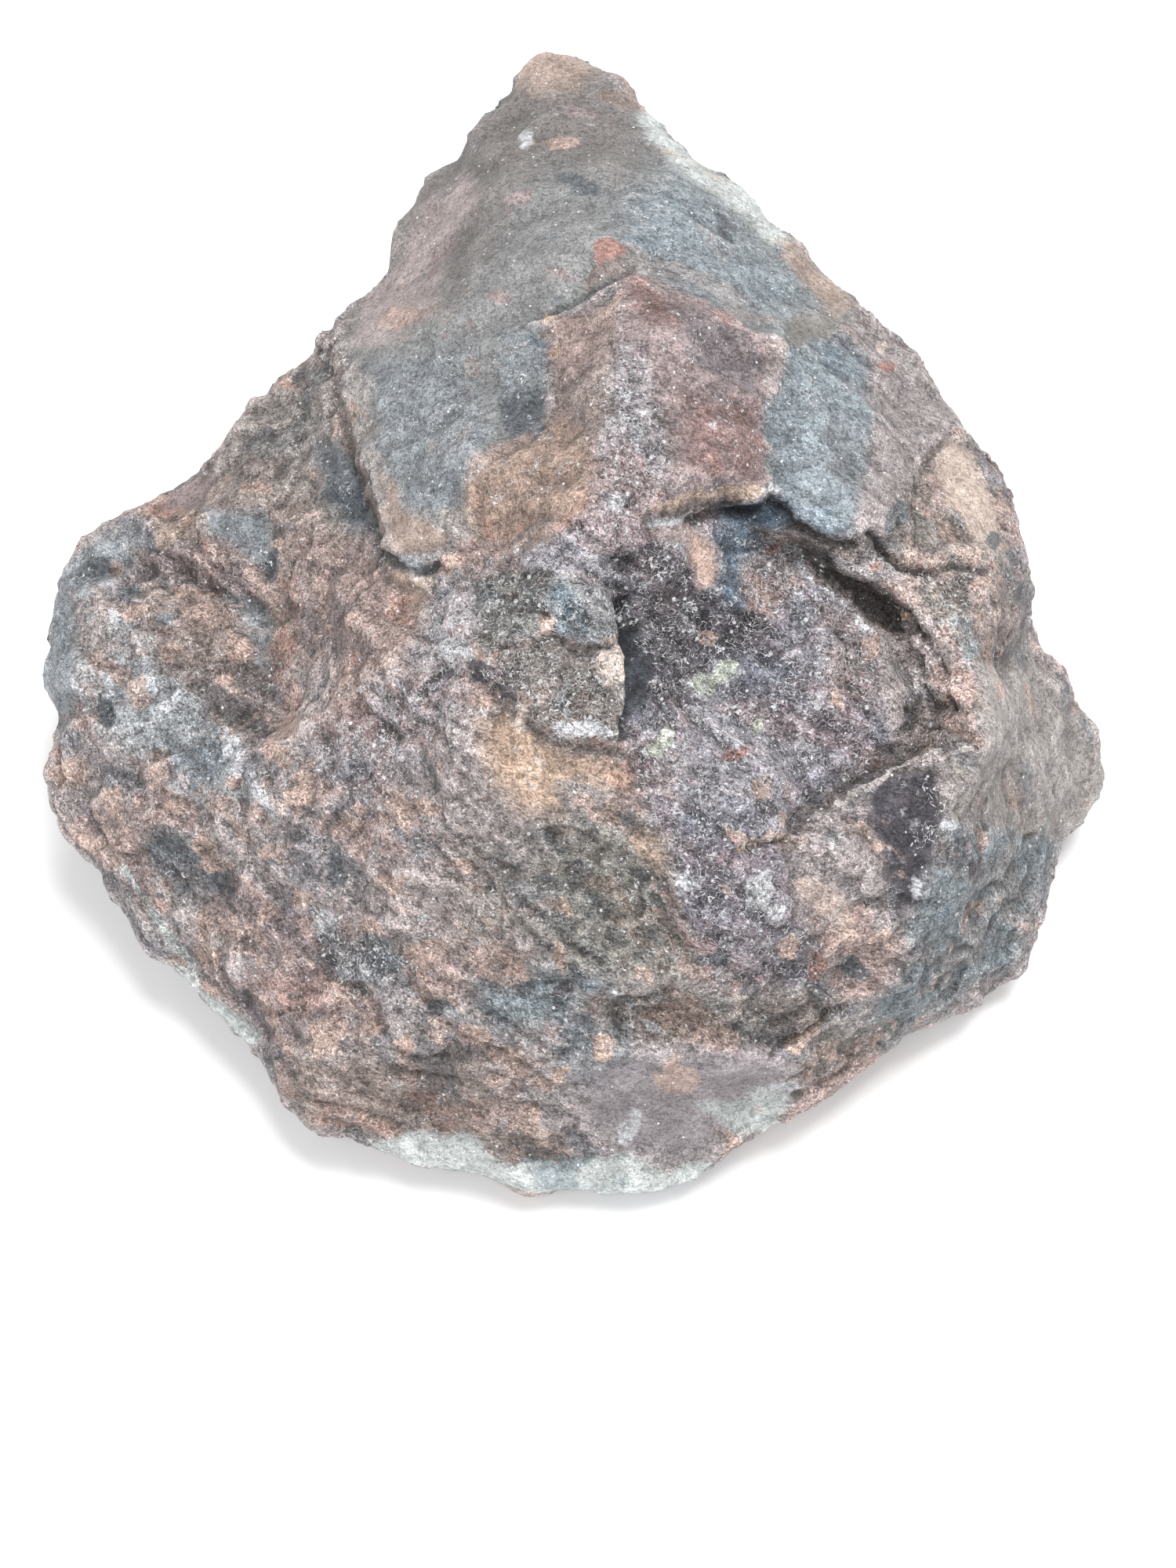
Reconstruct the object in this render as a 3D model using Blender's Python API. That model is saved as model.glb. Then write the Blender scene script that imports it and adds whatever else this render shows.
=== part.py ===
"""A rough, unworked block of mottled soapstone, lying on its one flat side.

Blender 4.5, metres, +Z up. The stone is one solid. Its upper side is drawn as lines over the view that
one has of it from above and in front: each point of a line is (across, down, height), where across and
down are places in that view, in view units, and height is millimetres above the table. The underside is
drawn in plain millimetres. Both sides are triangulated, joined at the outline, roughened and cut flat.
"""

import math

import bmesh
import bpy
import numpy as np
from mathutils import Vector, noise
from mathutils.geometry import delaunay_2d_cdt

MM = 0.001

# The view that the lines are drawn over
VIEW_UNIT = 0.16 * MM
VIEW_MIDDLE = (750, 1000)
VIEW_ELEVATION = math.radians(60)
VIEW_DISTANCE = 0.60
VIEW_AIM = Vector((0, -28 * MM, 44 * MM))

# How the surface is made
GRAIN_OF_SOLID = 2.6 * MM
EDGE_SOFTENING = 3
TRIANGLES_BEFORE_CUT = 11200
BASE_DEPTH = 6 * MM
SCOOP_SIZES = (30 * MM, 13 * MM)
SCOOP_DEPTH = 0.17
SCOOP_LEAN = 0.5
SCOOP_SEED = 1795856832
SWELL_HEIGHT = 0.8 * MM
SWELL_LENGTH = 26 * MM

STONE_COLOUR = (0.255, 0.228, 0.222, 1.0)
STONE_ROUGHNESS = 0.55

# The edge all round, as seen from above and in front, clockwise from the far point
OUTLINE = [
    (697, 62, 80), (738, 76, 80), (757, 98, 81), (798, 113, 82), (822, 140, 83), (848, 165, 84),
    (880, 215, 87), (922, 234, 87), (955, 262, 87), (985, 302, 87), (1010, 318, 86), (1045, 358, 85),
    (1085, 392, 83), (1125, 425, 81), (1155, 455, 80), (1195, 500, 78), (1218, 535, 76), (1230, 568, 74),
    (1252, 602, 72), (1272, 655, 70), (1286, 705, 66), (1293, 750, 60), (1288, 798, 50), (1312, 838, 40),
    (1345, 885, 32), (1385, 935, 24), (1408, 975, 19), (1411, 1000, 16), (1402, 1038, 13),
    (1370, 1047, 13), (1349, 1066, 14), (1338, 1105, 14), (1318, 1150, 13), (1306, 1192, 12),
    (1285, 1236, 10), (1260, 1243, 11), (1240, 1270, 11), (1200, 1296, 12), (1150, 1320, 14),
    (1100, 1350, 15), (1045, 1385, 14), (1000, 1420, 12), (965, 1445, 11), (945, 1465, 10),
    (905, 1495, 8), (865, 1512, 7), (815, 1520, 6), (780, 1510, 7), (720, 1508, 7), (640, 1500, 8),
    (580, 1494, 9), (510, 1478, 10), (450, 1450, 12), (405, 1437, 12), (380, 1400, 15), (355, 1380, 16),
    (330, 1345, 17), (300, 1315, 17), (272, 1285, 18), (255, 1255, 19), (235, 1207, 20), (190, 1175, 21),
    (150, 1110, 24), (105, 1070, 26), (80, 1030, 29), (67, 990, 31), (79, 945, 34), (82, 915, 35),
    (66, 875, 36), (61, 840, 38), (63, 790, 41), (73, 740, 44), (105, 700, 46), (135, 672, 47),
    (180, 650, 48), (225, 625, 49), (262, 608, 50), (268, 593, 54), (300, 565, 56), (335, 515, 58),
    (365, 483, 60), (400, 455, 62), (418, 445, 66), (425, 428, 68), (450, 405, 69), (465, 380, 70),
    (495, 362, 71), (508, 330, 72), (510, 295, 72), (525, 255, 72), (548, 220, 72), (565, 202, 72),
    (590, 205, 74), (597, 187, 78), (625, 150, 79), (650, 115, 80), (668, 75, 80),
]

# Ridges, edges and the feet of steps on the upper side
LINES = {
    "crest": [(798, 349, 109), (790, 430, 112), (785, 500, 113), (775, 570, 112), (765, 640, 109),
              (745, 690, 106), (700, 713, 102), (622, 742, 96), (590, 790, 93), (540, 838, 87),
              (470, 890, 77), (385, 948, 64)],
    "fold_left_of_crest": [(612, 600, 98), (650, 572, 100), (692, 550, 102), (702, 480, 103),
                           (690, 420, 103), (735, 386, 103), (775, 364, 104), (796, 338, 105)],
    "red_face_right_edge": [(798, 349, 109), (900, 385, 105), (1000, 443, 101), (990, 500, 103),
                            (978, 560, 102), (975, 620, 100), (978, 640, 100)],
    "back_of_blue_face": [(1000, 443, 101), (1060, 432, 94), (1100, 412, 87)],
    "ledge_top": [(765, 640, 109), (810, 655, 107), (850, 652, 105), (890, 637, 104), (945, 625, 102),
                  (978, 640, 100), (1010, 655, 99), (1050, 678, 97), (1075, 682, 96), (1110, 676, 94),
                  (1140, 650, 91), (1150, 612, 89), (1168, 580, 86), (1200, 567, 81), (1226, 562, 76)],
    "ledge_foot": [(812, 664, 104), (850, 661, 102), (893, 652, 99), (930, 666, 93), (960, 687, 86),
                   (1000, 699, 84), (1045, 704, 86), (1085, 700, 88), (1112, 700, 88), (1140, 720, 86),
                   (1165, 728, 84), (1165, 690, 84), (1160, 640, 85), (1178, 596, 83)],
    "recess_rim": [(1000, 702, 84), (1050, 722, 87), (1095, 738, 87), (1130, 750, 86), (1165, 765, 85),
                   (1200, 800, 83), (1218, 835, 81), (1240, 872, 79), (1244, 930, 77), (1240, 958, 76)],
    "recess_foot": [(1030, 719, 77), (1060, 742, 71), (1087, 765, 68), (1106, 795, 66), (1130, 840, 63),
                    (1150, 880, 61), (1164, 920, 61), (1160, 948, 62)],
    "recess_floor_edge": [(1006, 710, 84), (1028, 726, 82), (1058, 752, 80), (1076, 776, 78), (1090, 804, 76),
                          (1112, 850, 75), (1128, 892, 74), (1134, 936, 73), (1108, 968, 72),
                          (1070, 990, 72), (1030, 1020, 73), (1002, 1046, 74)],
    "near_lip": [(1240, 964, 76), (1172, 964, 75), (1156, 974, 74), (1130, 989, 74), (1092, 1008, 74),
                 (1052, 1034, 74), (1012, 1078, 73), (980, 1084, 74)],
    "near_lip_behind": [(1165, 955, 66), (1148, 966, 64), (1124, 980, 64), (1086, 999, 66),
                        (1044, 1024, 69), (1006, 1064, 72)],
    "knob_top": [(640, 737, 97), (700, 730, 100), (740, 745, 102), (770, 785, 101), (788, 812, 99),
                 (796, 850, 97), (797, 900, 94), (787, 934, 91), (757, 948, 90), (700, 936, 92),
                 (655, 905, 94), (612, 858, 94), (602, 806, 94), (616, 768, 95), (640, 737, 97)],
    "knob_foot": [(765, 735, 98), (786, 780, 91), (802, 812, 86), (808, 850, 84), (808, 900, 83),
                  (800, 940, 83), (765, 958, 87), (700, 946, 89), (650, 918, 91)],
    "left_edge_top": [(430, 455, 73), (432, 500, 77), (450, 550, 81), (478, 600, 84), (490, 660, 87),
                      (500, 697, 89), (532, 711, 91), (562, 706, 93), (600, 690, 96)],
    "left_edge_foot": [(416, 470, 63), (420, 510, 67), (438, 560, 71), (465, 610, 74), (475, 665, 76),
                       (486, 706, 78), (530, 726, 82), (572, 722, 87), (610, 712, 93)],
    "west_shelf_edge": [(110, 703, 49), (200, 688, 53), (270, 704, 57), (320, 733, 60), (347, 755, 61)],
    "west_shelf_foot": [(118, 730, 46), (215, 742, 49), (285, 760, 53), (345, 774, 57)],
    "west_valley": [(345, 774, 57), (345, 820, 56), (352, 872, 54), (372, 926, 52)],
    "raised_apron": [(820, 1062, 80), (862, 1105, 75), (875, 1150, 70), (905, 1185, 66)],
    "raised_apron_foot": [(805, 1080, 75), (845, 1112, 71), (858, 1155, 66), (890, 1195, 62)],
    "apron_right_edge": [(1240, 964, 76), (1205, 1050, 70), (1182, 1120, 62), (1155, 1190, 50),
                         (1142, 1260, 36), (1128, 1310, 24)],
    "bottom_hollow": [(740, 1268, 47), (850, 1292, 42), (950, 1308, 38), (1040, 1300, 37)],
    "bottom_face_top": [(760, 1318, 44), (850, 1338, 40), (940, 1342, 37), (1006, 1345, 32)],
    "lower_left_edge": [(350, 1262, 31), (420, 1318, 34), (500, 1330, 36), (565, 1305, 40),
                        (620, 1335, 38)],
    "lower_left_foot": [(350, 1300, 24), (420, 1350, 28), (500, 1352, 31), (575, 1345, 32),
                        (625, 1356, 33)],
}

# Single places on the faces between those lines
SPOTS = [
    (700, 150, 87), (760, 200, 94), (850, 262, 96), (650, 232, 91), (600, 262, 86), (560, 322, 82),
    (700, 300, 101), (800, 288, 103), (900, 328, 99), (960, 378, 96), (1040, 398, 92),
    (560, 400, 89), (640, 400, 98), (480, 422, 79), (520, 500, 88), (600, 500, 96), (560, 600, 93),
    (540, 662, 92), (740, 560, 107), (742, 470, 108), (700, 610, 104), (680, 660, 101), (622, 670, 97),
    (860, 430, 111), (880, 510, 111), (930, 570, 108), (860, 600, 110),
    (1050, 500, 98), (1060, 600, 98), (1105, 560, 94), (1132, 480, 87), (1172, 530, 82),
    (1210, 620, 79), (1240, 690, 77), (1200, 720, 82), (1262, 740, 73), (1240, 800, 79),
    (860, 700, 97), (905, 745, 90), (850, 780, 88), (800, 712, 99),
    (970, 760, 83), (1035, 800, 79), (1000, 870, 76), (1070, 890, 74), (1080, 950, 72), (1000, 960, 73),
    (935, 940, 76), (895, 880, 78), (930, 810, 81), (845, 860, 81), (850, 950, 80), (850, 1010, 82),
    (930, 1030, 78), (975, 1020, 75), (690, 800, 100), (700, 870, 97), (650, 860, 94),
    (700, 1000, 86), (780, 1010, 84), (600, 950, 88),
    (345, 560, 60), (305, 612, 56), (385, 620, 66), (405, 700, 70), (340, 690, 62), (450, 765, 76),
    (505, 780, 80), (425, 850, 69), (455, 830, 73),
    (150, 800, 48), (235, 815, 52), (120, 880, 44), (205, 900, 48), (295, 850, 54), (290, 930, 51),
    (150, 960, 40), (225, 1000, 44), (330, 975, 55),
    (160, 1060, 33), (250, 1060, 42), (350, 1060, 52), (450, 1050, 62), (550, 1050, 71), (650, 1050, 77),
    (750, 1050, 79), (930, 1090, 76), (1020, 1120, 71), (1100, 1090, 72), (1130, 1040, 73),
    (210, 1150, 28), (300, 1150, 38), (400, 1150, 47), (500, 1150, 55), (600, 1150, 61), (700, 1150, 66),
    (790, 1150, 67), (960, 1180, 66), (1060, 1180, 60),
    (290, 1240, 25), (450, 1240, 41), (550, 1240, 48), (650, 1240, 52), (750, 1220, 56), (860, 1240, 55),
    (960, 1255, 51), (1070, 1250, 46), (690, 1310, 44),
    (400, 1395, 20), (480, 1410, 20), (560, 1430, 18), (640, 1440, 19), (720, 1400, 28), (800, 1410, 26),
    (880, 1430, 22), (960, 1400, 21), (1060, 1350, 21),
    (1265, 850, 48), (1300, 900, 40), (1350, 980, 26), (1270, 970, 50), (1290, 1060, 34),
    (1240, 1130, 42), (1250, 1210, 22), (1190, 1240, 28),
]

# How the hidden sides tuck in below the outline: rings, each (share of the edge's height, share of the way
# to the middle, how many neighbours along the edge it evens out), and the foot below them
GIRDLES = [(0.74, 0.015, 1), (0.40, 0.06, 3)]
FOOT_TUCK = 0.13
FOOT_EVENED = 5
TUCK_WANDER = 0.07
TUCK_WAVE = 38 * MM
MIDDLE_OF_STONE = Vector((0, 8 * MM, 0))


def clear_scene():
    for old in list(bpy.data.objects):
        bpy.data.objects.remove(old)


def view_axes():
    """Which way the drawing view's right, its top and the viewer lie."""
    lean = VIEW_ELEVATION
    right = Vector((1, 0, 0))
    top = Vector((0, math.sin(lean), math.cos(lean)))
    viewer = Vector((0, -math.cos(lean), math.sin(lean)))
    return right, top, viewer


def on_stone(across, down, height):
    """The point that the view shows at this place, at this height in millimetres."""
    right, top, viewer = view_axes()
    eye = VIEW_AIM + viewer * VIEW_DISTANCE
    sight = (
        right * (across - VIEW_MIDDLE[0]) * VIEW_UNIT
        + top * (VIEW_MIDDLE[1] - down) * VIEW_UNIT
        - viewer * VIEW_DISTANCE
    )
    return eye + sight * ((height * MM - eye.z) / sight.z)


def inside(place, outline):
    """Whether a flat place lies within a closed outline."""
    within = False
    for start, end in zip(outline, outline[1:] + outline[:1]):
        if (start.y > place.y) != (end.y > place.y):
            crossing = start.x + (end.x - start.x) * (place.y - start.y) / (end.y - start.y)
            within ^= place.x < crossing
    return within


def triangulated(places, points, lines):
    """Triangles between the points, by their flat places, keeping each line. The outline comes first."""
    edges = [edge for line in lines for edge in zip(line, line[1:])]
    rim = len(OUTLINE)
    edges += [(i, (i + 1) % rim) for i in range(rim)]
    found, _, faces, origins, _, _ = delaunay_2d_cdt(places, edges, [], 0, 1e-4, True)
    if len(found) != len(places):
        raise ValueError(f"lines cross: {len(found)} corners from {len(places)}")
    outline = places[:rim]
    return [
        [points[origins[corner][0]] for corner in face]
        for face in faces
        if inside(sum((found[corner] for corner in face), Vector((0, 0))) / 3, outline)
    ]


def upper_side():
    drawn = list(OUTLINE)
    lines = []
    for line in LINES.values():
        for place in line:
            if place not in drawn:
                drawn.append(place)
        lines.append([drawn.index(place) for place in line])
    drawn += SPOTS
    places = [Vector(place[:2]) for place in drawn]
    return triangulated(places, [on_stone(*place) for place in drawn], lines)


def evened_out(edge, reach):
    """The outline with each point moved to the mean of its neighbours on both sides."""
    count = len(edge)
    spread = range(-reach, reach + 1)
    return [sum((edge[(i + j) % count] for j in spread), Vector()) / len(spread) for i in range(count)]


def drawn_in(point, tuck, height):
    """A point drawn in towards the middle, more here and less there, and set at a height."""
    point = Vector((point.x, point.y, height))
    wander = TUCK_WANDER * (0.5 + 0.5 * noise.noise(point / TUCK_WAVE))
    drawn = point.lerp(MIDDLE_OF_STONE, tuck + wander)
    drawn.z = height
    return drawn


def under_side():
    edge = [on_stone(*place) for place in OUTLINE]
    points = list(edge)
    for share, tuck, reach in GIRDLES:
        points += [drawn_in(point, tuck, point.z * share) for point in evened_out(edge, reach)]
    points += [drawn_in(point, FOOT_TUCK, -BASE_DEPTH) for point in evened_out(edge, FOOT_EVENED)]
    return triangulated([point.to_2d() / VIEW_UNIT for point in points], points, [])


def closed_mesh(faces):
    """One mesh from loose triangles, whose equal corners become one."""
    made = bmesh.new()
    corners = {}
    for face in faces:
        for point in face:
            key = tuple(point)
            if key not in corners:
                corners[key] = made.verts.new(point)
        made.faces.new([corners[tuple(point)] for point in face])
    bmesh.ops.recalc_face_normals(made, faces=made.faces)
    mesh = bpy.data.meshes.new("soapstone_block")
    made.to_mesh(mesh)
    made.free()
    return mesh


def scoops(place, size):
    """Shallow scoops about size across that meet in ridges, each leaning its own way."""
    distances, centres = noise.voronoi(place / size)
    depths = [
        distance ** 2 + SCOOP_LEAN * noise.noise_vector(centre * 7.31).dot(place / size - centre)
        for distance, centre in zip(distances, centres)
    ]
    return min(depths) * size * SCOOP_DEPTH


def roughen(mesh):
    """Scoops the faces and lets them swell, along each corner's normal."""
    noise.seed_set(SCOOP_SEED)
    corners = [v.co.copy() for v in mesh.vertices]
    normals = [v.normal.copy() for v in mesh.vertices]
    for vertex, place, normal in zip(mesh.vertices, corners, normals):
        swell = noise.fractal(place / SWELL_LENGTH, 0.9, 2.0, 3) * SWELL_HEIGHT
        scooped = sum(scoops(place, size) for size in SCOOP_SIZES)
        vertex.co = place + normal * (swell + scooped)


def cut_flat(mesh):
    """Takes off everything below the table, which leaves the flat that the stone lies on."""
    stone = bmesh.new()
    stone.from_mesh(mesh)
    everything = stone.verts[:] + stone.edges[:] + stone.faces[:]
    cut = bmesh.ops.bisect_plane(
        stone, geom=everything, plane_co=(0, 0, 0), plane_no=(0, 0, -1), clear_outer=True
    )
    rim = [item for item in cut["geom_cut"] if isinstance(item, bmesh.types.BMEdge)]
    bmesh.ops.contextual_create(stone, geom=rim)
    bmesh.ops.triangulate(stone, faces=stone.faces[:])
    bmesh.ops.recalc_face_normals(stone, faces=stone.faces)
    stone.to_mesh(mesh)
    stone.free()


def applied(block, kind, **settings):
    """The block's mesh after one modifier."""
    modifier = block.modifiers.new(kind.lower(), kind)
    for name, value in settings.items():
        setattr(modifier, name, value)
    graph = bpy.context.evaluated_depsgraph_get()
    block.data = bpy.data.meshes.new_from_object(block.evaluated_get(graph))
    block.modifiers.clear()


def stone_material():
    stone = bpy.data.materials.new("mottled_soapstone")
    stone.use_nodes = True
    shader = stone.node_tree.nodes["Principled BSDF"]
    shader.inputs["Base Color"].default_value = STONE_COLOUR
    shader.inputs["Roughness"].default_value = STONE_ROUGHNESS
    shader.inputs["Metallic"].default_value = 0.0
    return stone


def soapstone_block():
    block = bpy.data.objects.new("soapstone_block", closed_mesh(upper_side() + under_side()))
    bpy.context.scene.collection.objects.link(block)
    applied(block, "REMESH", mode="VOXEL", voxel_size=GRAIN_OF_SOLID)
    applied(block, "SMOOTH", factor=0.5, iterations=EDGE_SOFTENING)
    roughen(block.data)
    triangles = 2 * len(block.data.polygons)
    applied(block, "DECIMATE", ratio=TRIANGLES_BEFORE_CUT / triangles, use_collapse_triangulate=True)
    cut_flat(block.data)
    corners = np.array([v.co for v in block.data.vertices])
    middle = (corners.min(axis=0) + corners.max(axis=0)) / 2
    print("the drawing view's frame is moved by", -middle[:2])
    for vertex in block.data.vertices:
        vertex.co -= Vector((middle[0], middle[1], 0))
    block.data.shade_flat()
    block.data.materials.clear()
    block.data.materials.append(stone_material())
    return block


clear_scene()
soapstone_block()
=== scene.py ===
"""The looks of a rough soapstone block: its broken faces, cracks and grit, and its mottled colours.

Places on the stone are given as pixels of the 1500 x 2000 photograph, and sizes in millimetres. The seen
side is dressed from those places; the sides that the photograph doesn't show are dressed by rule.
"""

import math

import bpy
import numpy as np
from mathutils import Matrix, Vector, noise


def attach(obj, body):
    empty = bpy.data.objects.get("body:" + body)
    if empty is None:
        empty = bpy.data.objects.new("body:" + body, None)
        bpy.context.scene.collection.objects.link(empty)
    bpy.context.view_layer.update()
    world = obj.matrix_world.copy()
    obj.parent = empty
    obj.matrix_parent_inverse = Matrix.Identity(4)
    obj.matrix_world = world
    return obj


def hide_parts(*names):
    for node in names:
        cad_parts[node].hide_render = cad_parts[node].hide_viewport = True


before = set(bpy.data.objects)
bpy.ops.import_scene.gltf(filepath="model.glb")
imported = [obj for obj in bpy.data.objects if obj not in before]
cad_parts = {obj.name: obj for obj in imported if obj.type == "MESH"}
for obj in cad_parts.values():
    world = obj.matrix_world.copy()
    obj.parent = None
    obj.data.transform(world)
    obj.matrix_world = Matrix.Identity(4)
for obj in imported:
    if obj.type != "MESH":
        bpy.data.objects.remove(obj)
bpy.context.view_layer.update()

MM = 0.001

# The photograph's camera
PHOTO_MIDDLE = (750, 1000)
PHOTO_PIXEL = 0.16 * MM
CAMERA_AIM = Vector((1.8, -46.2, 44.0)) * MM
CAMERA_DISTANCE = 0.60
CAMERA_ELEVATION = math.radians(60)
SENSOR_MM = 36.0
LENS_MM = 67.5

# The skin of the stone
SKIN_GRAIN = 1.25 * MM
SKIN_EVENED = 5
FLAT_FROM = 0.3 * MM
FLAT_TO = 3 * MM
CREASE_UNIT = 0.5 * MM
CREASE_REACH = 6
FACING_FROM = 0.02
FACING_FULL = 0.22

# The rock's grain: how far it runs to the photograph's right and top, and how much it squeezes patterns
GRAIN_RIGHT = 0.82
GRAIN_TOP = -0.57
GRAIN_SQUEEZE = 0.45
STREAK_SQUEEZE = 0.75
PATCH_SQUEEZE = 0.60

# Relief by rule. The share is how much of it the smoothest faces have; the grittiest have 1 more.
# Scoops: size, depth as a share of size, share. The seed settles which way they lean
SCOOPED = [(15 * MM, 0.075, 0.5), (6.5 * MM, 0.09, 0.3)]
SCOOP_SEED = 7
SCOOP_LEAN = 0.6
SCOOP_TURN = 5.7
# Ledges: distance apart, height, share, seed
LEDGED = [(26 * MM, 1.3 * MM, 0.15, 21.0), (13 * MM, 0.45 * MM, 0.0, 22.0)]
LEDGE_CROWDING = 2.2
LEDGE_SHARPNESS = 0.16
# Grit: size, height, share, octaves, seed
GRITTED = [(9 * MM, 0.45 * MM, 0.3, 4, 8.0), (3.2 * MM, 0.34 * MM, 0.2, 2, 11.0)]
STEP_EDGE = 5
MARK_FALL = 0.7
STREAK_STRENGTH = 0.85

# How far borders, marks and lines stray in pixels, the size and octaves of their wandering, and its seed
BORDERS_STRAY = (6, 6 * MM, 4, 1.0)
MARKS_STRAY = (5, 4 * MM, 3, 4.0)
LINES_STRAY = (6, 6 * MM, 3, 6.0)

# Colours of the stone, as red, green and blue shares of white light
GREY = (0.255, 0.256, 0.258)
WARM_GREY = (0.385, 0.352, 0.336)
DUSK_GREY = (0.205, 0.187, 0.178)
BROWN_GREY = (0.300, 0.268, 0.252)
OLIVE_GREY = (0.262, 0.246, 0.226)
BLUE_GREY = (0.272, 0.312, 0.340)
STORM_GREY = (0.255, 0.275, 0.295)
GREEN_GREY = (0.215, 0.246, 0.266)
SLATE = (0.132, 0.144, 0.158)
# Painted shadow under the blue face's ledge: its darkest part just below the ledge, and the rest of it
BLUE_BLACK_PAINTED_SHADOW = (0.040, 0.056, 0.075)
BLUE_PAINTED_SHADOW = (0.166, 0.210, 0.266)
PURPLE_GREY = (0.264, 0.246, 0.282)
PURPLE_DARK = (0.120, 0.108, 0.122)
PINK_GREY = (0.355, 0.312, 0.310)
PINK = (0.400, 0.335, 0.325)
RED_GREY = (0.316, 0.250, 0.246)
RED = (0.245, 0.164, 0.155)
BROWN = (0.330, 0.262, 0.238)
UMBER = (0.280, 0.225, 0.208)
# The stone's dark brown, also used as painted shade under the knob, on its shelf, under the red face's
# ledge, beside the tongue and in a hollow
DARK_BROWN = (0.230, 0.190, 0.175)
# Painted shade in crevices and cracks, under ledges and in the knob's grooves
BLACK_BROWN_PAINTED_SHADE = (0.110, 0.094, 0.090)
WALL_BROWN = (0.485, 0.420, 0.410)
KNOB_GREY = (0.196, 0.190, 0.178)
KNOB_BROWN = (0.192, 0.168, 0.155)
PINK_BROWN = (0.352, 0.266, 0.244)
# Painted shade in the deep crack beside the knob
CRACK_PAINTED_SHADE = (0.046, 0.051, 0.062)
PLUM_DARK = (0.064, 0.057, 0.070)
PALE_SALMON = (0.600, 0.480, 0.430)
PALE_STORM = (0.350, 0.366, 0.384)
MAUVE_GREY = (0.228, 0.190, 0.218)
DUSTY_MAUVE = (0.290, 0.260, 0.274)
FROSTED_PINK = (0.480, 0.430, 0.446)
PALE_PINK = (0.455, 0.390, 0.378)
TAN = (0.400, 0.310, 0.265)
LIGHT_TAN = (0.460, 0.345, 0.280)
FACET_TAN = (0.355, 0.258, 0.212)
SALMON = (0.470, 0.345, 0.298)
PEACH = (0.585, 0.425, 0.360)
OCHRE = (0.505, 0.362, 0.276)
RUST = (0.310, 0.165, 0.140)
CREAM = (0.680, 0.570, 0.505)
SHELL = (0.580, 0.466, 0.405)
FROST = (0.560, 0.565, 0.590)
FROSTED_PURPLE = (0.335, 0.312, 0.345)
PALE_GREEN = (0.515, 0.545, 0.535)
LICHEN = (0.600, 0.640, 0.540)
SOOT = (0.060, 0.056, 0.066)
# Painted highlight: the white painted where talc flakes glint
PAINTED_GLINT_WHITE = (0.88, 0.88, 0.90)
# What patches multiply the colour below them by
WARM_SHIFT = (1.22, 1.00, 0.92)
SLATE_SHIFT = (0.56, 0.62, 0.68)

# What is painted on the stone besides its colours, and how much of each the kinds of surface have, 0 to 1
# The glint is how much painted highlight of talc glints a face has
LOOKS = ("salmon", "dark", "pale", "glint", "grit")
TEXTURES = {
    "smooth": (0.05, 0.08, 0.22, 0.15, 0.12),
    "speckled": (0.15, 0.18, 0.35, 0.35, 0.40),
    "gritty": (0.47, 0.28, 0.30, 0.40, 0.80),
    "brown_grit": (0.34, 0.26, 0.20, 0.32, 0.70),
    "curly": (0.12, 0.48, 0.50, 1.00, 1.00),
    "layered": (0.02, 0.35, 0.10, 0.30, 1.00),
    "blurred": (0.06, 0.08, 0.12, 0.05, 0.30),
}

# Patches by rule on the sides that the photograph doesn't show: size, seed, which way their wandering value
# goes, where the patch starts and is full, colour and texture
UNSEEN_PATCHES = [
    (34 * MM, 3.0, 1, 0.05, 0.40, PURPLE_GREY, "curly"),
    (34 * MM, 3.0, -1, 0.08, 0.40, BROWN, "brown_grit"),
    (22 * MM, 9.0, 1, 0.15, 0.45, STORM_GREY, "speckled"),
    (22 * MM, 9.0, -1, 0.35, 0.60, TAN, "speckled"),
    (13 * MM, 13.0, 1, 0.35, 0.60, SLATE, "gritty"),
]

# The material's patches and flecks: repeats in a metre, raggedness, strength and colour
SHADE_PATCHES = [(62.0, 0.62, 0.80, WARM_SHIFT), (78.0, 0.62, 0.80, SLATE_SHIFT)]
PATCHES_WHERE_SMOOTH = 0.25
PATCHES_WHERE_GRITTY = 0.62
LONG_FLECKS = [("dark", 120.0, 0.68, 0.55, SOOT), ("salmon", 96.0, 0.64, 0.75, SALMON)]
ROUND_FLECKS = [("pale", 240.0, 0.75, 0.45, FROST)]
FLECKS_AT_NONE = 0.70
FLECKS_AT_MOST = 0.38
FLECK_EDGE = 0.07
FLECK_SWIRL = 0.3

# The ragged edges of the painted marks
MARK_SCALE = 170.0
MARK_RAGGEDNESS = 1.5
MARK_FROM = 0.32
MARK_FULL = 0.50
MARK_COVER = 0.88

# The grain's parts: how many times finer than its scale each is, its detail and its roughness
GRAIN_SCALE = 110.0
CLOUDS = (1.8, 6.0, 0.92)
PUSH = (6.0, 3.0, 0.50)
DUST = (26.0, 1.0, 0.50)
SPECKS = (14.0, 3.0, 0.72)
PITS = (10.0, 3.0, 0.75)
SHARDS_FINER = 5.0
SHARD_PUSH = 2.2 * MM
# How strongly each part lightens the stone, and how much of it smooth and gritty faces have
GRAIN_PARTS = {"Clouds": 2.3, "Dust": 0.55, "Shards": 0.30, "Specks": 0.62, "Pits": -0.85}
GRAIN_WHERE_SMOOTH = 0.48
GRAIN_WHERE_GRITTY = 1.15
# Painted light and shade: how much lighter the ridges and darker the creases are painted, by crease depth
RIDGE_PAINTED_LIGHT = 0.40
CREASE_PAINTED_SHADE = -0.76

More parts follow.
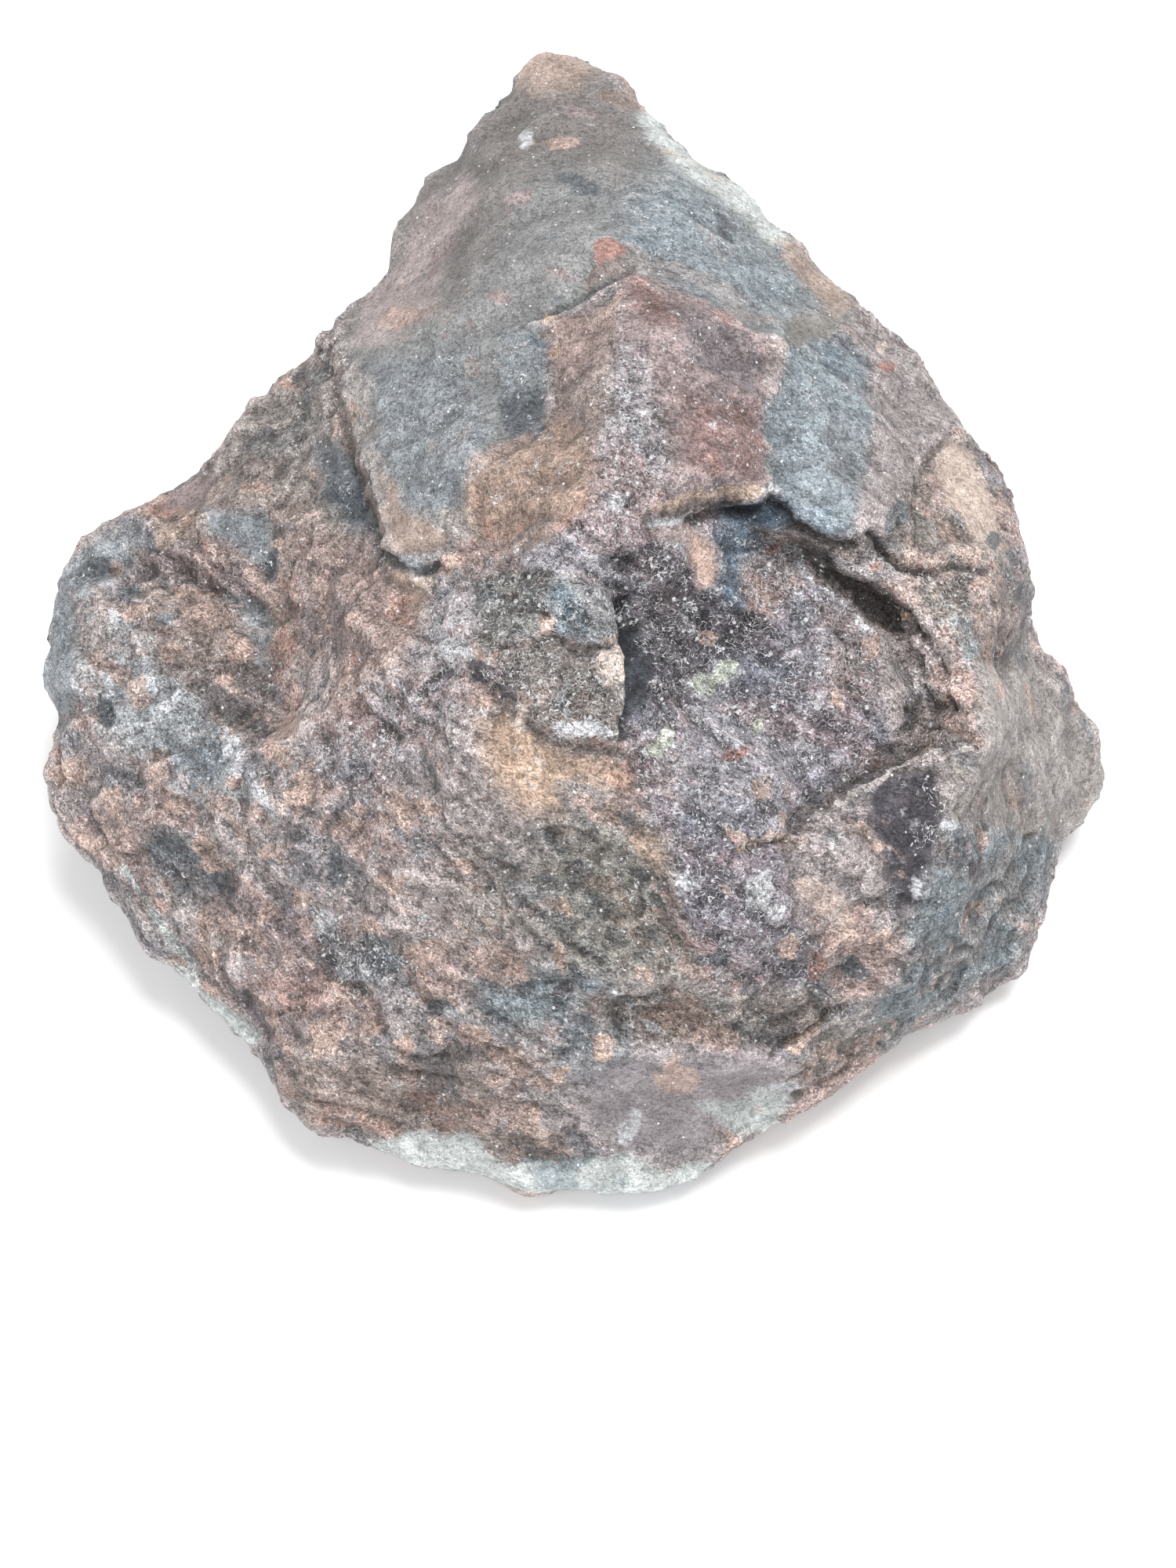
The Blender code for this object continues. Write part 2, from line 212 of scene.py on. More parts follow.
# Painted highlights of talc glints: threads broken into bits, which lie in patches, and sparks
GLINT_SCALE = 780.0
GLINT_COVER = 0.92
THREAD_SWIRL = 0.6
THREAD_CORE = 0.010
THREAD_EDGE = 0.032
BITS_SIZE = 0.45
BITS_EDGE = 0.08
BITS_PATCH = 0.12
BITS_PATCHINESS = 0.7
BITS_AT_NONE = 0.70
BITS_AT_MOST = 0.36
SPARK_AT_NONE = 0.17
SPARK_AT_MOST = 0.26
SPARK_SIZE = 0.55
SPARK_CORE = 0.6
# Roughness of the stone and of its glints, and the bump of both
DULL = 0.62
SHINY = 0.34
BUMP_SHARE = 0.35
BUMP_STRENGTH = 0.9
BUMP_HEIGHT = 1.2 * MM

# The studio
FLOOR_HALF = 2.5
FLOOR_WHITE = (0.96, 0.96, 0.96, 1.0)
FLOOR_ROUGHNESS = 0.9
SKY_STRENGTH = 0.50
LAMPS = [("window", (0.25, 0.20, 1.35), 0.7, 20), ("fill", (-0.25, -0.90, 1.00), 1.0, 10)]
LAMP_AIM = (0, 0, 0.04)

# The faces of the seen side: colour, texture, how soft the border is in pixels, and the border
FACES = [
    # The left end
    (PINK_GREY, "gritty", 25, [(55, 860), (60, 740), (110, 690), (180, 655), (270, 690), (330, 760),
     (352, 900), (330, 965), (230, 1010), (100, 1080), (60, 980)]),
    (STORM_GREY, "speckled", 18, [(50, 880), (55, 750), (110, 695), (165, 675), (200, 690), (150, 745),
     (105, 790), (100, 880), (80, 940)]),
    (PALE_STORM, "gritty", 26, [(100, 770), (150, 780), (235, 860), (300, 950), (330, 1020), (270, 1020),
     (180, 960), (110, 900)]),
    (UMBER, "gritty", 18, [(180, 745), (300, 745), (352, 770), (355, 905), (305, 915), (250, 880),
     (205, 860), (185, 800)]),
    (STORM_GREY, "speckled", 12, [(290, 760), (352, 772), (352, 870), (330, 850), (318, 800)]),
    # The hollow of the left side
    (BROWN, "brown_grit", 14, [(180, 655), (262, 605), (330, 520), (420, 440), (432, 500), (446, 560),
     (476, 610), (492, 672), (512, 706), (560, 722), (556, 780), (500, 860), (400, 940), (370, 958),
     (350, 900), (345, 760), (270, 690)]),
    (BROWN_GREY, "brown_grit", 22, [(330, 520), (420, 440), (440, 560), (475, 610), (490, 672), (420, 690),
     (390, 640), (300, 640), (270, 605)]),
    (PINK_BROWN, "brown_grit", 26, [(380, 680), (480, 690), (545, 780), (500, 855), (400, 935), (372, 950),
     (352, 900), (362, 780)]),
    (PALE_PINK, "brown_grit", 24, [(350, 850), (425, 835), (445, 880), (392, 945), (352, 940)]),
    (SLATE, "speckled", 14, [(400, 565), (448, 570), (472, 612), (492, 690), (450, 680), (420, 640)]),
    (STORM_GREY, "speckled", 10, [(262, 650), (348, 655), (352, 745), (300, 712), (270, 690)]),
    (LIGHT_TAN, "brown_grit", 14, [(195, 655), (250, 650), (262, 690), (205, 700)]),
    (PINK_BROWN, "layered", 12, [(175, 700), (262, 690), (300, 700), (352, 742), (350, 770), (280, 748),
     (200, 742)]),
    (RED_GREY, "smooth", 7, [(195, 652), (262, 607), (275, 610), (262, 650), (215, 660)]),
    (DARK_BROWN, "gritty", 14, [(255, 880), (345, 905), (352, 950), (310, 940), (268, 915)]),
    (TAN, "smooth", 6, [(352, 915), (385, 915), (388, 945), (356, 945)]),
    (FACET_TAN, "smooth", 10, [(503, 728), (530, 722), (548, 745), (556, 790), (540, 795), (526, 762),
     (505, 750)]),
    (STORM_GREY, "speckled", 9, [(495, 705), (545, 708), (560, 722), (548, 735), (505, 722)]),
    # The smooth top
    (GREY, "smooth", 10, [(655, 60), (757, 90), (885, 205), (1010, 312), (1100, 392), (1085, 412),
     (1040, 434), (1000, 441), (960, 425), (900, 384), (840, 362), (800, 345), (770, 370), (720, 395),
     (690, 410), (655, 470), (700, 530), (690, 550), (605, 590), (610, 640), (562, 702), (510, 705),
     (490, 670), (475, 610), (445, 560), (432, 500), (428, 440), (470, 372), (505, 330), (520, 240),
     (590, 180)]),
    (DUSK_GREY, "smooth", 40, [(650, 40), (765, 80), (830, 150), (800, 230), (700, 210), (650, 260),
     (620, 340), (560, 400), (505, 430), (460, 380), (500, 330), (510, 240), (580, 170)]),
    (BLUE_GREY, "speckled", 40, [(800, 260), (870, 225), (960, 290), (1040, 380), (1000, 425), (930, 395),
     (860, 365), (800, 330)]),
    (PINK, "smooth", 18, [(540, 270), (595, 225), (612, 250), (565, 320), (545, 395), (505, 430), (440, 445),
     (465, 372), (505, 335)]),
    (WARM_GREY, "speckled", 10, [(428, 440), (470, 470), (482, 560), (506, 620), (530, 650), (605, 655),
     (600, 690), (560, 704), (510, 706), (488, 672), (472, 610), (444, 560), (428, 500)]),
    (STORM_GREY, "speckled", 16, [(470, 470), (600, 440), (625, 560), (600, 625), (560, 650), (505, 640),
     (490, 560)]),
    (TAN, "smooth", 7, [(482, 600), (500, 620), (516, 650), (575, 680), (556, 703), (512, 706),
     (496, 680)]),
    (TAN, "smooth", 18, [(650, 50), (720, 52), (760, 92), (730, 118), (655, 112)]),
    (PALE_GREEN, "smooth", 9, [(820, 132), (870, 180), (905, 215), (960, 242), (1010, 305), (985, 312),
     (930, 262), (880, 232), (845, 192), (812, 158)]),
    (TAN, "smooth", 9, [(1003, 305), (1045, 345), (1095, 392), (1070, 402), (1025, 362), (1000, 335)]),
    (OLIVE_GREY, "smooth", 12, [(1000, 400), (1090, 398), (1060, 436), (1005, 440)]),
    # The raised red face
    (PINK_BROWN, "speckled", 14, [(700, 402), (790, 395), (788, 470), (772, 560), (752, 640), (695, 700),
     (612, 660), (604, 592), (650, 568), (706, 548), (718, 500), (690, 450)]),
    (UMBER, "speckled", 18, [(708, 478), (788, 478), (774, 558), (718, 545)]),
    (FACET_TAN, "speckled", 14, [(604, 602), (638, 574), (690, 556), (704, 528), (745, 548), (760, 600),
     (742, 650), (692, 690), (640, 692), (598, 684), (594, 640)]),
    (STORM_GREY, "speckled", 12, [(640, 430), (690, 420), (706, 470), (700, 505), (640, 505)]),
    (SLATE, "speckled", 5, [(640, 505), (692, 498), (692, 552), (655, 562), (638, 545)]),
    (RED_GREY, "speckled", 9, [(800, 345), (850, 365), (900, 384), (960, 425), (1000, 443), (996, 500),
     (978, 510), (972, 560), (978, 622), (900, 642), (835, 656), (845, 560), (820, 500), (795, 420)]),
    (RED, "speckled", 16, [(868, 505), (965, 515), (970, 608), (878, 598)]),
    (RED, "speckled", 12, [(800, 355), (850, 378), (885, 410), (830, 415), (805, 395)]),
    (DUSTY_MAUVE, "curly", 20, [(790, 440), (812, 440), (836, 520), (852, 600), (835, 652), (780, 670),
     (755, 645), (772, 560)]),
    (PINK, "speckled", 9, [(975, 440), (1003, 445), (998, 500), (980, 520), (968, 470)]),
    (BLUE_GREY, "speckled", 8, [(1000, 443), (1060, 434), (1104, 450), (1112, 540), (1104, 600), (1092, 676),
     (1050, 680), (1012, 652), (982, 625), (975, 560), (978, 510), (996, 500)]),
    (STORM_GREY, "speckled", 18, [(1050, 530), (1100, 540), (1090, 640), (1050, 600)]),
    (PINK_GREY, "speckled", 12, [(1092, 402), (1160, 452), (1222, 536), (1195, 570), (1166, 588),
     (1152, 640), (1122, 682), (1092, 676), (1104, 600), (1112, 540), (1104, 450)]),
    # The right shoulder
    (BROWN_GREY, "gritty", 12, [(1155, 600), (1195, 575), (1190, 640), (1222, 665), (1262, 722), (1240, 760),
     (1150, 725), (1125, 700)]),
    (SHELL, "smooth", 5, [(1186, 600), (1204, 562), (1232, 570), (1264, 630), (1284, 700), (1256, 712),
     (1236, 680), (1222, 652), (1206, 650), (1200, 630)]),
    (PINK_GREY, "curly", 8, [(1000, 700), (1090, 690), (1175, 735), (1252, 735), (1250, 800), (1212, 815),
     (1165, 765), (1110, 742), (1050, 722)]),
    (GREEN_GREY, "curly", 8, [(1190, 770), (1240, 750), (1245, 830), (1225, 850), (1205, 805)]),
    (WARM_GREY, "blurred", 12, [(1262, 700), (1300, 740), (1296, 798), (1350, 880), (1425, 985),
     (1410, 1050), (1349, 1070), (1300, 1020), (1252, 960), (1246, 800)]),
    (UMBER, "gritty", 10, [(1256, 700), (1300, 738), (1298, 800), (1276, 850), (1248, 840)]),
    (KNOB_GREY, "curly", 12, [(1165, 742), (1225, 740), (1242, 780), (1216, 814), (1178, 780)]),
    # The recess
    (PURPLE_GREY, "curly", 12, [(765, 645), (850, 664), (893, 654), (960, 690), (1000, 702), (1028, 727),
     (1076, 777), (1112, 850), (1134, 936), (1108, 970), (1030, 1022), (1002, 1048), (980, 1078),
     (850, 1060), (800, 960), (806, 860), (790, 790), (765, 735)]),
    (FROSTED_PURPLE, "curly", 16, [(738, 660), (770, 645), (800, 660), (790, 760), (740, 745), (700, 730),
     (640, 735), (692, 702)]),
    (PURPLE_DARK, "curly", 18, [(775, 690), (870, 690), (900, 745), (975, 770), (985, 830), (900, 860),
     (830, 925), (805, 900), (800, 840), (775, 770)]),
    (PINK, "speckled", 12, [(815, 660), (880, 655), (905, 690), (880, 700), (840, 690)]),
    (PEACH, "smooth", 5, [(878, 680), (905, 688), (923, 705), (912, 745), (893, 750), (876, 712)]),
    # Painted shadow under the blue face's ledge, darkest just below it
    (BLUE_PAINTED_SHADOW, "gritty", 14, [(903, 662), (940, 638), (1000, 640), (1025, 668), (968, 690), (945, 735),
     (952, 780), (922, 765), (912, 712)]),
    (BLUE_BLACK_PAINTED_SHADOW, "gritty", 8, [(925, 656), (945, 636), (1000, 640), (1012, 660), (960, 664)]),
    (DARK_BROWN, "layered", 8, [(960, 672), (1020, 668), (1060, 684), (1105, 682), (1100, 712), (1050, 708),
     (1000, 700)]),
    (RED_GREY, "curly", 16, [(1030, 770), (1085, 790), (1120, 880), (1080, 900), (1050, 840)]),
    (PINK, "curly", 14, [(945, 715), (1000, 705), (1020, 745), (990, 780), (950, 775)]),
    (FROSTED_PURPLE, "curly", 20, [(815, 925), (880, 880), (940, 900), (1000, 960), (1000, 1030),
     (930, 1050), (850, 1020), (800, 975)]),
    (WALL_BROWN, "layered", 6, [(1003, 700), (1050, 718), (1110, 738), (1165, 762), (1212, 812), (1238, 862),
     (1244, 955), (1150, 975), (1150, 905), (1160, 870), (1130, 815), (1096, 802), (1086, 775),
     (1050, 740)]),
    # Painted shade in the crevice under the recess's rim
    (BLACK_BROWN_PAINTED_SHADE, "layered", 6, [(1003, 698), (1055, 712), (1115, 738), (1160, 772), (1185, 812),
     (1150, 812), (1102, 802), (1086, 775), (1050, 742)]),
    (DARK_BROWN, "layered", 8, [(1150, 900), (1200, 892), (1240, 905), (1244, 958), (1160, 972)]),
    # Painted shade in the crevice behind the lip
    (BLACK_BROWN_PAINTED_SHADE, "layered", 5, [(1160, 962), (1110, 975), (1065, 1005), (1040, 1045), (1062, 1034),
     (1110, 1004), (1165, 980)]),
    # The knob
    # Painted shade in the crack beside the knob
    (CRACK_PAINTED_SHADE, "blurred", 5, [(796, 800), (812, 798), (826, 850), (820, 905), (800, 945), (792, 940),
     (802, 890), (800, 840)]),
    (KNOB_GREY, "curly", 8, [(610, 745), (660, 725), (700, 722), (705, 806), (640, 826), (603, 812)]),
    (GREEN_GREY, "curly", 8, [(705, 735), (765, 745), (790, 790), (795, 815), (705, 812)]),
    (KNOB_BROWN, "curly", 8, [(603, 818), (650, 832), (700, 824), (780, 838), (800, 870), (798, 932),
     (757, 946), (690, 932), (640, 884)]),
    (FROSTED_PINK, "curly", 14, [(560, 745), (612, 750), (606, 810), (592, 850), (540, 850), (530, 830)]),
    # The front
    (DUSTY_MAUVE, "curly", 24, [(385, 950), (480, 880), (560, 850), (590, 870), (560, 930), (500, 1000),
     (430, 1020)]),
    (OCHRE, "speckled", 24, [(612, 905), (672, 915), (722, 955), (796, 980), (800, 1005), (722, 1000),
     (715, 1038), (660, 1036), (622, 985)]),
    (PALE_PINK, "gritty", 26, [(480, 1105), (600, 1090), (645, 1150), (590, 1192), (500, 1192)]),
    (PALE_PINK, "gritty", 22, [(205, 1130), (290, 1130), (330, 1200), (285, 1245), (240, 1215)]),
    (BROWN_GREY, "gritty", 34, [(580, 1060), (700, 1050), (700, 1205), (590, 1205)]),
    (OLIVE_GREY, "gritty", 26, [(700, 1050), (800, 1035), (850, 1100), (868, 1180), (885, 1250), (720, 1255),
     (690, 1150)]),
    (LIGHT_TAN, "brown_grit", 8, [(800, 1056), (838, 1066), (858, 1100), (850, 1115), (822, 1098),
     (800, 1080)]),
    (MAUVE_GREY, "curly", 20, [(858, 1062), (990, 1080), (1010, 1150), (1045, 1250), (950, 1262),
     (900, 1215), (872, 1150)]),
    (PINK_GREY, "gritty", 18, [(1010, 1060), (1090, 1030), (1120, 1110), (1150, 1160), (1130, 1250),
     (1060, 1240), (1020, 1160)]),
    (PALE_SALMON, "speckled", 8, [(1008, 1125), (1048, 1124), (1092, 1164), (1086, 1186), (1042, 1166)]),
    (PLUM_DARK, "speckled", 12, [(1100, 995), (1195, 982), (1203, 1060), (1170, 1150), (1142, 1165),
     (1118, 1080)]),
    (BROWN_GREY, "speckled", 14, [(1200, 965), (1290, 960), (1345, 1060), (1320, 1085), (1215, 1050)]),
    (GREEN_GREY, "gritty", 16, [(1208, 1050), (1345, 1070), (1318, 1150), (1292, 1232), (1240, 1252),
     (1140, 1322), (1085, 1345), (1142, 1230), (1168, 1150)]),
    (SLATE, "gritty", 16, [(180, 1055), (240, 1065), (300, 1110), (298, 1145), (230, 1142), (185, 1095)]),
    (RED_GREY, "gritty", 20, [(248, 1235), (330, 1245), (405, 1250), (425, 1300), (360, 1345),
     (290, 1295)]),
    (SLATE, "curly", 16, [(405, 1185), (500, 1190), (520, 1235), (470, 1262), (415, 1240)]),
    (GREEN_GREY, "gritty", 22, [(595, 1250), (700, 1235), (765, 1250), (750, 1300), (640, 1312),
     (590, 1290)]),
    (DARK_BROWN, "brown_grit", 22, [(345, 1345), (480, 1345), (620, 1330), (640, 1390), (610, 1450),
     (450, 1445), (395, 1438)]),
    (BROWN, "brown_grit", 20, [(360, 1350), (470, 1350), (540, 1390), (500, 1440), (420, 1435)]),
    (PINK_GREY, "gritty", 16, [(625, 1330), (720, 1345), (765, 1440), (740, 1490), (700, 1480),
     (630, 1430)]),
    (STORM_GREY, "gritty", 14, [(705, 1290), (800, 1300), (812, 1400), (765, 1400), (712, 1350)]),
    (DARK_BROWN, "brown_grit", 8, [(606, 1440), (680, 1438), (722, 1478), (690, 1480), (645, 1486),
     (620, 1470)]),
    (BROWN_GREY, "layered", 18, [(765, 1268), (880, 1252), (1000, 1262), (1055, 1290), (1000, 1336),
     (850, 1328), (760, 1302)]),
    # Painted shade in the hollow low on the right
    (DARK_BROWN, "layered", 14, [(985, 1270), (1060, 1268), (1062, 1296), (1010, 1316), (970, 1300)]),
    (BROWN_GREY, "gritty", 12, [(1052, 1296), (1150, 1312), (1100, 1348), (1020, 1388), (1008, 1345)]),
    (DUSTY_MAUVE, "smooth", 28, [(742, 1346), (900, 1340), (1002, 1345), (1006, 1392), (950, 1405),
     (885, 1485), (800, 1465), (752, 1425)]),
    # Fresh breaks along the foot
    (PALE_GREEN, "smooth", 6, [(478, 1455), (550, 1445), (612, 1446), (620, 1470), (645, 1487), (700, 1476),
     (745, 1478), (800, 1468), (850, 1494), (905, 1480), (880, 1530), (780, 1535), (700, 1525), (560, 1500),
     (490, 1480)]),
    (PALE_GREEN, "smooth", 8, [(890, 1408), (945, 1402), (982, 1382), (1004, 1392), (985, 1440),
     (935, 1445)]),
    (PALE_GREEN, "smooth", 6, [(252, 1250), (300, 1290), (338, 1322), (320, 1335), (262, 1290)]),
]

# Single marks of colour: colour, strength, and for each mark its middle, its half length and half width in
# pixels and, where it isn't level, how many degrees it leans, clockwise
MARKS = [
    (RUST, 0.80, [(774, 322, 20, 15, 20), (1040, 1230, 12, 17), (932, 962, 19, 8, 15), (1112, 722, 10, 8),
     (1130, 470, 9, 6), (985, 700, 10, 6)]),
    (RED_GREY, 0.46, [(590, 405, 44, 20, -40), (705, 350, 30, 16, -20), (655, 255, 36, 14, -30),
     (745, 140, 34, 12, 10), (560, 330, 20, 40, 20), (640, 380, 20, 10)]),
    (SALMON, 0.78, [(714, 183, 30, 8), (580, 720, 14, 17, 20), (505, 402, 22, 12, -30),
     (230, 1030, 20, 9, 5), (262, 1078, 18, 14), (278, 1102, 26, 10), (200, 1152, 26, 9, 15),
     (262, 1182, 13, 24), (264, 1218, 22, 13, 10), (340, 1166, 14, 18), (386, 1146, 15, 14),
     (415, 1322, 26, 20, 30), (542, 1215, 28, 15, -10), (622, 1216, 18, 18), (655, 1234, 16, 13),
     (716, 1218, 10, 28, -20), (602, 1322, 27, 13, 10), (652, 1346, 36, 17, 15), (688, 1374, 22, 8, 30),
     (674, 1420, 13, 19, 20), (520, 1332, 15, 17), (478, 1312, 14, 9), (95, 985, 26, 18, 30),
     (152, 1022, 12, 20, -10), (120, 1075, 22, 12, 20), (358, 965, 22, 14, 35), (385, 1006, 15, 20),
     (345, 1085, 16, 12), (590, 1102, 18, 8, 10), (500, 1122, 22, 14, 20), (530, 1030, 30, 12),
     (480, 1180, 18, 9, 10), (300, 1000, 14, 9), (972, 1005, 12, 20), (303, 833, 18, 17),
     (175, 785, 24, 8, -10), (218, 832, 14, 12), (288, 868, 14, 8), (410, 742, 17, 9, 20), (458, 795, 10, 9),
     (152, 728, 9, 10), (1110, 830, 9, 18, 20), (1064, 892, 8, 16), (1150, 722, 8, 6),
     (940, 1068, 26, 11, 40), (1000, 1045, 8, 12), (1245, 752, 11, 15, 20), (1125, 1190, 12, 18),
     (1010, 1200, 12, 9, 30), (925, 1136, 10, 7), (865, 1372, 30, 24), (768, 1334, 12, 15),
     (715, 1365, 9, 22, 30), (1020, 1330, 18, 6, -30), (1000, 1210, 16, 9, 30), (820, 1240, 20, 10, 30),
     (700, 800, 10, 8), (905, 815, 12, 9), (330, 625, 26, 9, 10), (376, 500, 18, 8, 30)]),
    (OCHRE, 0.75, [(702, 412, 14, 6, 20), (690, 402, 6, 6), (722, 1155, 9, 20, -20), (655, 940, 12, 22, -30),
     (705, 455, 14, 7), (1155, 790, 12, 6)]),
    (CREAM, 1.00, [(778, 850, 22, 20, 20), (784, 824, 10, 14), (1124, 445, 7, 9), (662, 918, 9, 15, 20),
     (545, 745, 12, 8), (390, 1150, 7, 9)]),
    (FROST, 0.58, [(674, 180, 8, 20, 30), (150, 830, 14, 30, -20), (145, 880, 10, 20),
     (300, 955, 14, 34, -20), (590, 830, 26, 16), (745, 930, 42, 14, -10), (800, 505, 9, 14),
     (814, 552, 9, 26), (786, 640, 13, 20, 20), (150, 800, 50, 9, 60), (205, 892, 46, 8, 58),
     (108, 885, 40, 8, 65), (338, 1012, 30, 7, 60), (880, 1128, 12, 26, -10), (545, 1165, 12, 8),
     (420, 1170, 16, 18), (440, 1240, 16, 14, 40), (1165, 1130, 10, 18), (985, 625, 14, 7, 20),
     (1060, 1075, 8, 16), (790, 1270, 30, 10, 20), (830, 1310, 30, 7, 25), (575, 1290, 9, 14, 20),
     (1000, 1385, 26, 10, -20), (965, 1140, 20, 34, 20), (985, 1165, 26, 14, 20), (800, 1440, 14, 26, 30),
     (1170, 1345, 8, 5), (850, 665, 30, 8, -10), (1205, 1050, 9, 8), (375, 1000, 6, 14)]),
    (LICHEN, 0.85, [(922, 858, 18, 15, -10), (900, 872, 16, 14), (848, 940, 12, 16, 10), (832, 960, 16, 9),
     (965, 930, 6, 12, 30)]),
    (SLATE, 0.72, [(925, 290, 24, 12, 30), (120, 725, 30, 14, -30), (170, 762, 20, 10), (350, 720, 10, 22),
     (740, 235, 30, 16, 30), (1090, 1235, 24, 12, 20), (1265, 692, 10, 12), (905, 1222, 30, 9, 10),
     (735, 1310, 24, 20), (430, 1105, 9, 26), (672, 1264, 18, 10, 10), (140, 905, 12, 30, -20),
     (215, 790, 18, 10), (560, 1285, 20, 14), (1140, 660, 14, 22, 20)]),
    (PURPLE_DARK, 0.75, [(560, 868, 32, 10, -35), (640, 880, 26, 9, 30), (616, 856, 20, 12, 20),
     (975, 1030, 16, 14), (1160, 1010, 26, 14), (1240, 1110, 12, 18), (720, 1262, 12, 8),
     (930, 1190, 20, 10, 20), (330, 930, 16, 12)]),
    # Painted shade: the marks under the red face's ledge, along the band above its ridge and on the knob's
    # shelf
    (DARK_BROWN, 0.75, [(890, 640, 44, 7, -12), (690, 672, 42, 9, -28), (300, 1200, 30, 12, 20),
     (380, 1270, 12, 8), (1180, 735, 40, 6, 5), (700, 1150, 14, 10), (860, 1140, 10, 36, -10),
     (330, 600, 40, 14), (700, 1478, 22, 5, 20), (740, 828, 44, 6, 3), (1015, 1078, 30, 6, -8),
     (700, 430, 12, 6), (770, 345, 30, 9, -35)]),
]

# Cracks and grooves: width and depth in millimetres, and the line they follow
CRACKS = {
    "beside_the_knob": (3.0, 4.5, [(790, 770), (801, 810), (807, 850), (806, 900), (798, 940)]),
    "above_the_red_face": (2.2, 1.6, [(806, 338), (772, 364), (748, 380), (716, 390), (688, 404)]),
    "left_of_the_tongue": (2.0, 2.0, [(414, 448), (424, 500), (438, 560), (462, 612), (478, 665), (490, 706),
     (520, 722), (560, 724)]),
    "behind_the_lip": (4.4, 2.4, [(1165, 950), (1124, 968), (1088, 984), (1048, 1008), (1014, 1048)]),
    "across_the_shoulder": (1.5, 2.4, [(1108, 682), (1130, 706), (1150, 722), (1180, 730), (1215, 726),
     (1252, 728)]),
    "down_the_shoulder": (1.4, 0.8, [(1196, 570), (1172, 596), (1164, 640), (1168, 690)]),
    "under_the_red_face": (1.8, 2.2, [(880, 664), (905, 656), (940, 648), (985, 644)]),
    "under_the_blue_face": (1.8, 2.2, [(985, 640), (1012, 668), (1048, 692), (1090, 694)]),
    "front_right": (1.2, 1.4, [(930, 1100), (950, 1082), (975, 1070), (1002, 1074)]),
    "low_right": (1.4, 1.8, [(985, 1345), (1008, 1325), (1050, 1300), (1075, 1282)]),
    "knob_shelf": (2.0, 1.5, [(608, 806), (636, 830), (676, 824), (704, 814), (738, 832), (780, 826)]),
    "recess_crevice": (5.0, 2.6, [(1012, 706), (1060, 730), (1105, 762), (1140, 790)]),
    "recess_layer_high": (1.0, 1.2, [(1030, 722), (1085, 748), (1130, 780), (1168, 830), (1190, 890)]),
    "recess_layer_low": (1.0, 1.2, [(1060, 732), (1115, 755), (1160, 790), (1200, 845), (1216, 910)]),
    "recess_layer_foot": (1.0, 1.2, [(1150, 905), (1180, 895), (1215, 900), (1238, 915)]),
    "recess_layer_end": (1.0, 1.2, [(1145, 935), (1175, 922), (1210, 928), (1240, 940)]),
    "west_shelf": (2.4, 0.4, [(130, 722), (215, 735), (285, 755), (345, 775), (352, 850)]),
}

# Steps: how high the side on the left of the line's way stands over the other, how far that fades out, both
# in millimetres, and the line
STEPS = {
    "tongue": (2.0, 9, [(560, 706), (510, 708), (488, 672), (472, 610), (443, 560), (428, 500),
     (420, 446)]),
    "tan_facet": (0.9, 6, [(608, 650), (604, 592), (690, 552), (702, 530)]),
    "red_face": (1.4, 8, [(1000, 443), (900, 385), (800, 347), (745, 386), (690, 408)]),
    "blue_face": (0.8, 6, [(982, 622), (975, 560), (978, 512), (998, 500), (1002, 445)]),
    "apron": (1.5, 9, [(905, 1192), (878, 1150), (866, 1108), (838, 1080), (800, 1060)]),
    "knob": (1.2, 7, [(610, 752), (605, 832), (640, 884), (690, 932), (757, 946)]),
    "foot": (1.4, 10, [(1010, 1338), (900, 1330), (800, 1325), (742, 1340)]),
    "brown_hollow": (1.2, 9, [(372, 955), (430, 915), (500, 860), (545, 810), (556, 745)]),
    "front_low": (1.2, 9, [(600, 1350), (520, 1345), (430, 1340), (350, 1325)]),
}

# Thin lines of colour along lips and cracks: colour, half width in pixels, and the line
STREAKS = [
    (WARM_GREY, 3, [(1040, 1046), (1090, 1012), (1130, 993), (1168, 966), (1238, 958)]),
    # Painted shade on the knob's shelf
    (DARK_BROWN, 5, [(610, 806), (638, 830), (676, 824), (704, 814)]),
    # Painted shade in the knob's grooves
    (BLACK_BROWN_PAINTED_SHADE, 4, [(690, 736), (694, 772), (704, 806), (738, 830), (772, 826)]),
    (LIGHT_TAN, 5, [(940, 1086), (975, 1066), (1002, 1070)]),
    (LIGHT_TAN, 5, [(1006, 1334), (1030, 1318), (1050, 1302)]),
    (FROST, 4, [(1000, 700), (1050, 748), (1088, 788), (1104, 808)]),
    # Painted shadow under the knob's overhang
    (DARK_BROWN, 6, [(640, 896), (672, 925), (700, 945), (750, 956), (800, 960)]),
    (DARK_BROWN, 5, [(1178, 606), (1188, 578), (1206, 563)]),
    (LIGHT_TAN, 6, [(840, 648), (880, 634), (935, 626), (965, 624)]),
    # Painted shadow under the red face's ledge
    (BLACK_BROWN_PAINTED_SHADE, 7, [(846, 656), (890, 644), (940, 638)]),
    # Painted shade in the crack across the shoulder
    (BLACK_BROWN_PAINTED_SHADE, 6, [(1104, 684), (1125, 706), (1150, 724), (1182, 732)]),
    (PALE_GREEN, 5, [(160, 1108), (200, 1172), (240, 1222), (258, 1262)]),
    # Painted shadow left of the tongue's step
    (DARK_BROWN, 6, [(430, 452), (430, 505), (442, 560), (466, 612), (482, 668), (494, 702)]),
]

